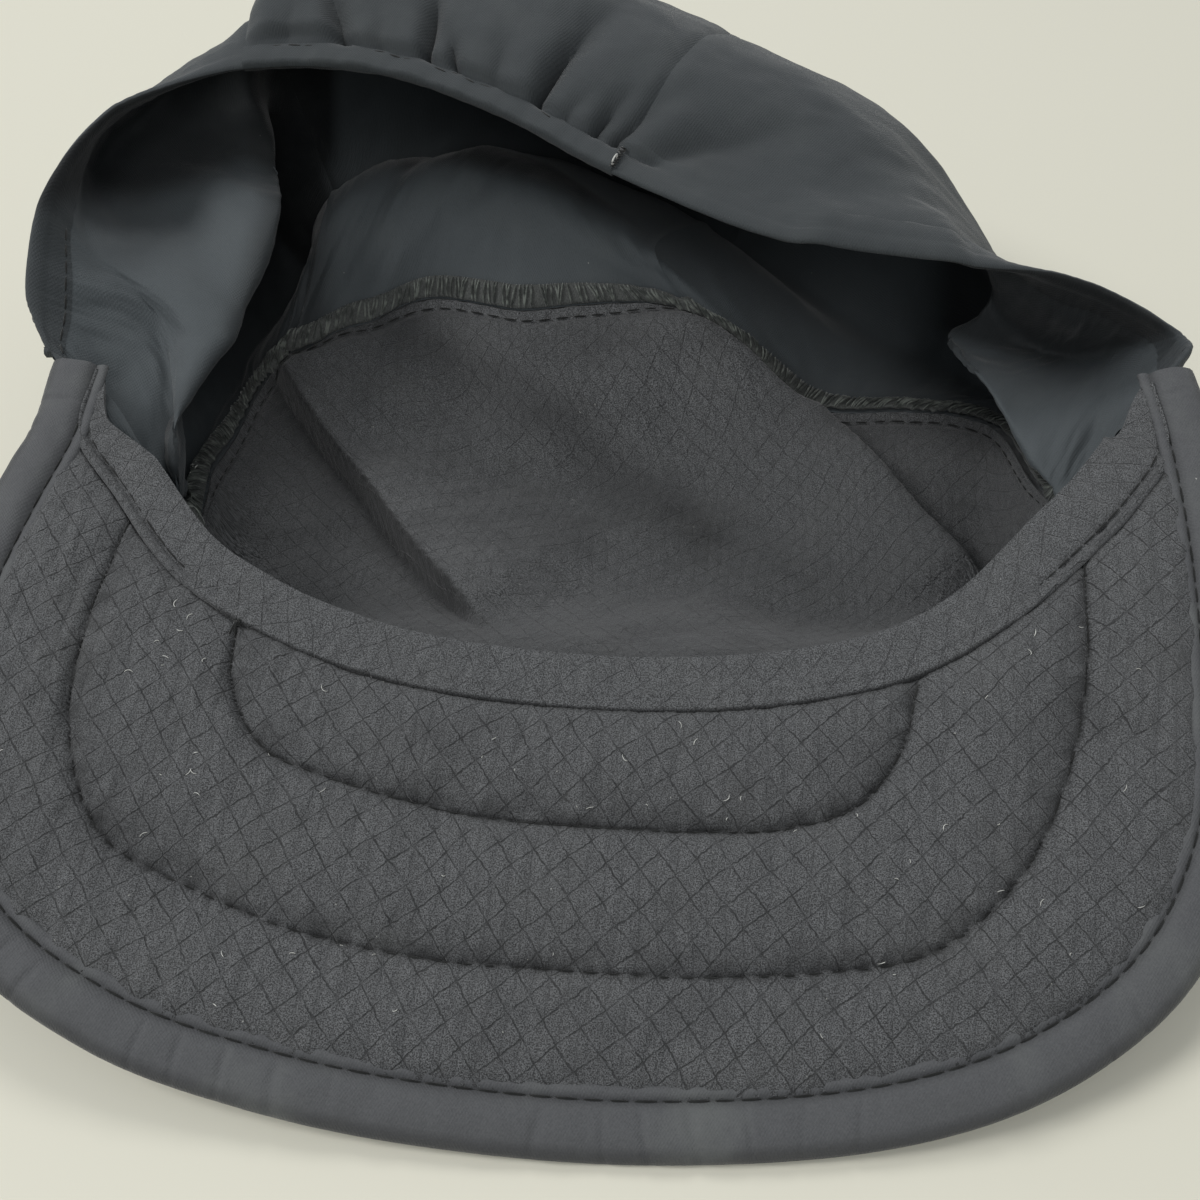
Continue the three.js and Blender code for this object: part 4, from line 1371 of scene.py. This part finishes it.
class CAP_OT_brim_tapes(bpy.types.Operator):
    """Make the brim's binding, the ridge of its seam and the facing strip"""
    bl_idname = "cap.brim_tapes"
    bl_label = "Binding, piping and facing"

    def execute(self, context):
        self.binding()
        self.piping()
        self.facing()
        return {"FINISHED"}

    def binding(self):
        """The puckered tape round the brim's outer edge."""
        shares = fine(0, 1, BINDING_ROWS)
        profile = np.array(BINDING_SECTION)
        lengths = (shares * binding_line.length)[:, None]
        outer = smooth(profile[:, 0], 0.3, 2.5)[None] * (profile[:, 1] > -1.5)[None]
        inner = smooth(profile[:, 0], -0.2, -0.8)[None] * (profile[:, 1] > 0.3)[None]
        flat = np.stack(np.broadcast_arrays(lengths, np.arange(len(profile))[None] * 1.3), axis=-1)
        crease = np.maximum(np.sin(2 * np.pi * lengths / 7.5 + 4 * waves(flat, (25, 30), 3.3, 2)), 0) ** 8
        crease = crease * smooth(waves(flat, (14, 20), 4.4, 2), -0.15, 0.3)
        bulge = outer * (0.45 * waves(flat, (11, 7), 5.7, 3) - 0.36 * crease)
        bulge += inner * 0.22 * waves(flat, (3.5, 9), 7.7, 2)
        grid = above_floor(tape(binding_line, shares, profile, bulge), BINDING_LOWEST)
        # Painted shade on the binding's rounded outer edge and in the groove along its row of stitches
        dark = 0.45 * smooth(profile[:, 0], 5.6, 7.8) + 0.3 * bell(profile[:, 0], 0.5)
        piece = tube_piece("brim_binding_tape", grid[:, ::-1], cloth_material("tape"),
                           binding_line.length / BINDING_ROWS, dark[::-1])
        seat(piece, "tape", "brim_binding")

    def piping(self):
        """The ridge of the seam between brim and crown."""
        shares = fine(TIP_SHARE, 1 - TIP_SHARE, RIDGE_ROWS)
        angles = np.linspace(0, 2 * np.pi, RIDGE_COLUMNS, endpoint=False)
        section = np.column_stack((np.sin(angles), np.cos(angles))) * RIDGE_SIZE
        flat = np.stack(np.broadcast_arrays((shares * seam.length)[:, None], angles[None] * 1.2), axis=-1)
        bulge = 0.2 * waves(flat, (4.2, 5), 2.9, 2) + 0.1 - 0.35 * self.covered(shares)[:, None]
        grid = tape(seam, shares, section, bulge)
        piece = tube_piece("brim_seam_ridge", grid, cloth_material("brim_ripstop"), seam.length / RIDGE_ROWS)
        seat(piece, "tape", "brim_seam_piping")

    def covered(self, shares):
        """Where the facing's rolled edge covers the ridge: everywhere but near the horns."""
        return smooth(np.minimum(shares, 1 - shares), 0.17, 0.24)

    def facing(self):
        """The strip inside the crown along the seam, its near edge rolled over the ridge."""
        shares = fine(0, 1, FACING_ROWS)
        across = fine(0, 1, FACING_COLUMNS)
        covered = self.covered(shares)[:, None]
        taper = np.clip(shares / 0.1, 0, 1) ** 0.8 * np.clip((1 - shares) / 0.06, 0, 1) ** 0.7
        width = (FACING_WIDTH + 2.2 * smooth(shares, 0.72, 0.85)) * taper
        start = mix(0.0, -1.05, covered)
        distance = mix(start, (width + FACING_TURN)[:, None], 1 - across[None])
        points = seam.at(shares)[:, None] - seam.right(shares)[:, None] * distance[..., None]
        points[..., 2] = brim_height(points[..., 0], points[..., 1])
        flat = np.stack(np.broadcast_arrays((shares * seam.length)[:, None], distance), axis=-1)
        edge = distance - FACING_TURN
        pucker = waves(flat, (3.6, 6), 8.8, 2)
        calm = smooth(edge, -1.4, 0.5)
        rise = 0.3 * pucker * bell(edge - 1.6, 2.2) + 0.3 * waves(flat, (9, 9), 1.8, 2) * calm
        rise += 0.45 * smooth(edge, 0, 1.0) * smooth(edge, FACING_WIDTH, FACING_WIDTH - 1.5)
        rise -= 0.18 * bell(edge - 0.5, 0.5) * (1 - covered)
        open_lip = 0.75 * smooth(distance, 1.0, 0.2)
        curl = np.sqrt(np.clip(1 - (np.minimum(distance, 0) / 1.06) ** 2, 0, 1))
        rolled = 0.95 * curl * smooth(distance, 5.0, -0.2)
        rise += mix(open_lip, rolled + 0.08 * pucker, covered)
        normal = brim_normal(points[..., 0])
        top = points + normal * rise[..., None]
        lower = points + normal * (np.minimum(rise, 0.2) - 0.8)[..., None]
        # Painted shadow under the facing's rolled edge, and painted shade along its open edge near the horns
        dark = covered * smooth(distance, -0.45, -0.8) + 0.25 * fade(np.abs(edge), 0.6) * (1 - covered)
        piece = shell("brim_facing_strip", lower, top, flat, cloth_material("facing_ripstop"), crease=dark)
        seat(piece, "ripstop", "brim_facing")


# The overlocked edges: their rows of points along the seam and the steps across them, half
# their thickness, and the points of a loop of thread
OVERLOCK_ROWS = 700
OVERLOCK_STEPS = 13
OVERLOCK_HALF = 0.6
LOOP_POINTS = 7


class CAP_OT_overlock(bpy.types.Operator):
    """Make the overlocked edges of the front panel's seam, with their loops of thread"""
    bl_idname = "cap.overlock"
    bl_label = "Overlocked seam"

    def execute(self, context):
        numbers = fine(0, LAST_SECTION, OVERLOCK_ROWS)
        grid, flat, _, _ = crown_cloth(numbers, (-ALLOWANCE_WIDTH - 0.6, -0.5, OVERLOCK_STEPS))
        outward = normals_of(grid)
        across = fine(0, 1, grid.shape[1])[None]
        wavy = 0.35 * waves(flat, (5, 9), 2.2, 2)
        middle = grid - outward * (1.15 + wavy)[..., None]
        half = OVERLOCK_HALF * np.sqrt(np.clip(1 - (2 * across - 1) ** 4, 0.05, 1))
        half = np.broadcast_to(half, wavy.shape)[..., None]
        piece = shell("front_seam_edges", middle + outward * half, middle - outward * half,
                      cloth_coordinates(grid), cloth_material("seam_edge"))
        seat(piece, "overlock_thread", "front_seam_overlock")
        self.loops(middle - outward * (half + 0.12), outward)
        return {"FINISHED"}

    def loops(self, top, outward):
        """Loops of thread across the sewn edges, each of them leaning a little."""
        _, _, stops = run_of_stitches(top[:, 0], cap_sizes().overlock_pitch / MM)
        rows = np.clip(np.searchsorted(lengths_along(top[:, 0])[1:], stops), 3, len(top) - 6)
        strands = []
        last = top.shape[1] - 1
        for number, row in enumerate(rows):
            swing = 0.5 * math.sin(number * 1.7) + 0.3 * math.sin(number * 0.61)
            path = []
            for share in fine(0, 1, LOOP_POINTS):
                place = int(round(share * last))
                bend = mix(top[row, place], top[row + 2, place], 0.5 + swing * share)
                path.append(bend - outward[row, place] * 0.3 * math.sin(math.pi * share))
            strands.append(path)
        loops = thread_piece("front_seam_loops", strands, OVERLOCK_THREAD, cloth_material("overlock_thread"))
        seat(loops, "overlock_thread")


# The rows of stitches along the rim: the band's width, the first and last section, how far the
# row lies from the band's middle, and the faces it is on, 1 outside and -1 inside
RIM_ROWS = (
    (HEM_WIDTH, 0.0, 4.0, 0.45, (-1,)),
    (CASING_WIDTH, LEFT_TACK, RIGHT_TACK, 0.75, (1, -1)),
    (HEM_WIDTH, RIGHT_TACK + 0.05, RIGHT_TACK + 1.4, 0.45, (-1,)),
)
RIM_STEPS = 400

# How far from the arched seam the front panel's row of stitches runs
ARCH_ROW = 3.2


class CAP_OT_stitches(bpy.types.Operator):
    """Sew the rows of stitches on the brim, the facing, the hems and the panels"""
    bl_idname = "cap.stitches"
    bl_label = "Stitches"

    def execute(self, context):
        pitch = cap_sizes().stitch_pitch / MM
        self.brim_rows(pitch)
        self.crown_rows(pitch)
        self.loose_threads()
        return {"FINISHED"}

    def brim_rows(self, pitch):
        """The brim's quilting, the binding's row, and the rows beside both ends of the seam."""
        paths = [
            # The quilting stitches overlap into one unbroken dark line: the thread, and a painted shadow of
            # the channel's crevice
            (inner_quilting.points, 0.75, -0.22),
            (outer_quilting.points, 0.75, -0.22),
            (binding_line.at(fine(0.03, 0.97, BINDING_ROWS)), 0.95, 0.32),
        ]
        for shares in (fine(0.06, 0.27, 300), fine(0.74, 0.94, 300)):
            beside = seam.beside(shares, -SEAM_CLEARANCE - 0.4)
            beside[:, 2] = brim_height(beside[:, 0], beside[:, 1]) + 0.02
            paths.append((beside, 0.8, 0.0))
        rows = []
        for path, spacing, lift in paths:
            points, along, _ = run_of_stitches(path, pitch * spacing)
            rows.append((points + brim_normal(points[:, 0]) * lift, along))
        points, along = (np.concatenate(parts) for parts in zip(*rows))
        piece = lay_stitches("brim_stitches", points, along, brim_normal(points[:, 0]),
                             pitch * 0.84, BRIM_THREAD, cloth_material("thread"))
        seat(piece, "overlock_thread")

    def crown_rows(self, pitch):
        """The row along the front panel's arched seam, and the rows of the hems and the casing."""
        points = front_cloth(fine(0.02, 0.98, 700), np.array((0.0, 0.02, 0.035, 0.05)))
        lengths = np.linalg.norm(points[:, -1] - points[:, 0], axis=1)
        share = np.clip(ARCH_ROW / np.maximum(lengths, 1), 0, 1)[:, None]
        line = mix(points[:, 0], points[:, -1], share)
        line[:, 2] += 0.1
        spots, along, _ = run_of_stitches(line, pitch)
        rows = [(spots, along, np.tile((0.0, 0.0, 1.0), (len(spots), 1)))]
        last = RIM_STEPS - 1
        for width, start, end, thick, faces in RIM_ROWS:
            numbers = fine(start + 0.05, end - 0.05, RIM_STEPS)
            grid, _, _, _ = crown_cloth(numbers, (width * 0.8, width * 0.92, 2))
            outward = normals_of(grid)[:, 1]
            for face in faces:
                line = grid[:, 1] + outward * (BAND_MIDDLE + face * thick)
                spots, along, stops = run_of_stitches(line, pitch * 0.9)
                place = np.clip((stops / max(stops[-1], 1) * last).astype(int), 0, last)
                rows.append((spots, along, outward[place] * face))
        points, along, up = (np.concatenate(parts) for parts in zip(*rows))
        piece = lay_stitches("crown_stitches", points, along, up,
                             pitch * 0.78, CROWN_THREAD, cloth_material("thread"))
        seat(piece, "overlock_thread")

    def loose_threads(self):
        """The knot and the cut tail at the left end of the inner quilting."""
        end = np.array((-60.8, -51.5, brim_height(-60.8, -51.5) + 0.6))
        knot = [end + (0.5 * math.cos(a), 0.4 * math.sin(a), 0.25 * math.sin(2 * a)) for a in fine(0, 9, 26)]
        tail = [end + (-0.6 * t, -2.4 * t, 0.3 + 0.2 * math.sin(3 * t)) for t in fine(0, 1.2, 10)]
        piece = thread_piece("brim_thread_end", [knot, tail], CROWN_THREAD, cloth_material("thread"))
        seat(piece, "overlock_thread")


# How many fibres of lint lie on the brim and on the overlocked seam
BRIM_LINT = 55
SEAM_LINT = 9


class CAP_OT_lint(bpy.types.Operator):
    """Make the tack at the end of the elastic, and the lint that clings to the cloth"""
    bl_idname = "cap.lint"
    bl_label = "Tack and lint"

    def execute(self, context):
        self.tack()
        self.fibres()
        return {"FINISHED"}

    def tack(self):
        """The zigzag at the right end of the elastic, with a pale loop of thread."""
        reach = 0.06
        numbers = fine(RIGHT_TACK - reach, RIGHT_TACK + reach, 9)
        grid, _, _, _ = crown_cloth(numbers, (0.4, CASING_WIDTH + 0.4, 14))
        outward = normals_of(grid)
        lifted = grid + outward * 1.75
        zigzag = [lifted[4 + (1 if k % 2 else -1), k] for k in range(15)]
        seat(thread_piece("elastic_tack", [zigzag], TACK_THREAD, cloth_material("thread")), "overlock_thread")
        middle, up = lifted[4, 4], outward[4, 4]
        along = unit(grid[4, 8] - grid[4, 2])
        ring = [
            middle + along * 1.1 * math.cos(angle) + up * (0.5 + 0.7 * math.sin(angle))
            for angle in fine(-1.4, 4.4, 14)
        ]
        seat(thread_piece("elastic_tack_loop", [ring], TACK_LOOP, cloth_material("lint")), "overlock_thread")

    def fibres(self):
        """Short bent fibres on the brim, and flecks on the overlocked seam."""
        chance = np.random.default_rng(11)
        strands = []
        for _ in range(BRIM_LINT):
            share = chance.uniform(0.16, 0.86)
            depth = chance.uniform(0.04, 0.96)
            start = brim_grid(np.array((share,)), np.array((0.0, depth)))[0, 1]
            turn = chance.uniform(0, 6.3)
            length = chance.uniform(0.35, 1.5)
            bend = chance.uniform(-1.5, 1.5)
            steps = fine(0, 1, 6)
            angles = turn + bend * steps
            spots = np.tile(start, (len(steps), 1))
            spots[:, 0] += length * steps * np.cos(angles)
            spots[:, 1] += length * steps * np.sin(angles)
            spots[:, 2] = brim_height(spots[:, 0], spots[:, 1])
            strands.append(brim_surface(spots[None])[0] + (0, 0, 0.12))
        seat(thread_piece("brim_lint", strands, BRIM_FIBRE, cloth_material("lint")), "overlock_thread")
        grid, _, _, _ = crown_cloth(fine(2.4, 3.4, 30), (-5, -1, 10))
        inward = -normals_of(grid)
        flecks = []
        for _ in range(SEAM_LINT):
            row = chance.integers(2, 28)
            column = chance.integers(1, 9)
            spot = grid[row, column] + inward[row, column] * 2.0
            end = spot + chance.uniform(-0.9, 0.9, 3)
            flecks.append([spot, (spot + end) / 2 + (0, 0, 0.25), end])
        seat(thread_piece("seam_lint", flecks, SEAM_FIBRE, cloth_material("lint")), "overlock_thread")


# The stage: half the width of its floor in metres, the room's light, and the lamps with their
# places and sizes in metres and their powers in watts
FLOOR_REACH = 2.5
ROOM_COLOUR = (0.93, 0.97, 1.0, 1)
ROOM_STRENGTH = 0.38
LAMPS = (
    ("window_light", (-1.4, 0.0, 1.4), 0.7, 16.0),
    ("room_light", (0.1, 1.3, 1.8), 0.8, 12.3),
    ("front_light", (0.2, -1.5, 1.25), 0.8, 8.0),
)


class CAP_OT_stage(bpy.types.Operator):
    """Set the floor, the lights and the camera"""
    bl_idname = "cap.stage"
    bl_label = "Stage"

    def execute(self, context):
        self.floor()
        self.lights()
        self.camera()
        context.scene.view_settings.view_transform = "Standard"
        return {"FINISHED"}

    def floor(self):
        """The matt surface under the cap."""
        mesh = bpy.data.meshes.new("floor")
        sides = ((-1, -1), (1, -1), (1, 1), (-1, 1))
        mesh.from_pydata([(x * FLOOR_REACH, y * FLOOR_REACH, 0) for x, y in sides], [], [(0, 1, 2, 3)])
        material = bpy.data.materials.new("floor")
        material.use_nodes = True
        shader = material.node_tree.nodes["Principled BSDF"]
        shader.inputs["Base Color"].default_value = tuple(bpy.context.scene.cap_colours.floor) + (1.0,)
        shader.inputs["Roughness"].default_value = 0.6
        mesh.materials.append(material)
        new_object("floor", mesh)

    def lights(self):
        """Soft light from a window at the left, from behind and from the front, in a pale room."""
        scene = bpy.context.scene
        world = bpy.data.worlds.new("room")
        world.use_nodes = True
        room = world.node_tree.nodes["Background"]
        room.inputs["Color"].default_value = ROOM_COLOUR
        room.inputs["Strength"].default_value = ROOM_STRENGTH
        scene.world = world
        for name, place, size, power in LAMPS:
            light = bpy.data.lights.new(name, "AREA")
            light.shape = "DISK"
            light.size = size
            light.energy = power
            lamp = bpy.data.objects.new(name, light)
            lamp.location = place
            lamp.rotation_euler = (-Vector(place)).to_track_quat("-Z", "Y").to_euler()
            scene.collection.objects.link(lamp)

    def camera(self):
        """The camera that the drawing was made from."""
        data = bpy.data.cameras.new("camera")
        data.lens = CAMERA_LENS
        data.sensor_width = CAMERA_SENSOR
        data.clip_start = 0.005
        camera = bpy.data.objects.new("camera", data)
        camera.location = to_frame(np.array(CAMERA_AT))
        camera.rotation_euler = (math.radians(90 - CAMERA_DOWN_DEG), 0, 0)
        bpy.context.scene.collection.objects.link(camera)
        bpy.context.scene.camera = camera


MAKERS = (
    CAP_OT_brim,
    CAP_OT_brim_tapes,
    CAP_OT_front_panel,
    CAP_OT_crown,
    CAP_OT_overlock,
    CAP_OT_stitches,
    CAP_OT_lint,
    CAP_OT_stage,
)


class CAP_PT_panel(bpy.types.Panel):
    """The settings and the buttons that make the cap"""
    bl_label = "Running Cap"
    bl_idname = "CAP_PT_panel"
    bl_space_type = "VIEW_3D"
    bl_region_type = "UI"
    bl_category = "Cap"

    def draw(self, context):
        layout = self.layout
        for group in (context.scene.cap_sizes, context.scene.cap_colours):
            for name in group.bl_rna.properties.keys():
                if name not in ("rna_type", "name"):
                    layout.prop(group, name)
        for maker in MAKERS:
            layout.operator(maker.bl_idname)


CLASSES = (CapColours, CapSizes) + MAKERS + (CAP_PT_panel,)


def register():
    """Adds the operators, the panel and the settings."""
    for cls in CLASSES:
        bpy.utils.register_class(cls)
    bpy.types.Scene.cap_colours = bpy.props.PointerProperty(type=CapColours)
    bpy.types.Scene.cap_sizes = bpy.props.PointerProperty(type=CapSizes)


def unregister():
    """Takes them out again."""
    del bpy.types.Scene.cap_sizes
    del bpy.types.Scene.cap_colours
    for cls in reversed(CLASSES):
        bpy.utils.unregister_class(cls)


def main():
    """Makes the whole cap."""
    register()
    bpy.ops.cap.brim()
    bpy.ops.cap.brim_tapes()
    bpy.ops.cap.front_panel()
    bpy.ops.cap.crown()
    bpy.ops.cap.overlock()
    bpy.ops.cap.stitches()
    bpy.ops.cap.lint()
    bpy.ops.cap.stage()


if __name__ == "__main__":
    main()
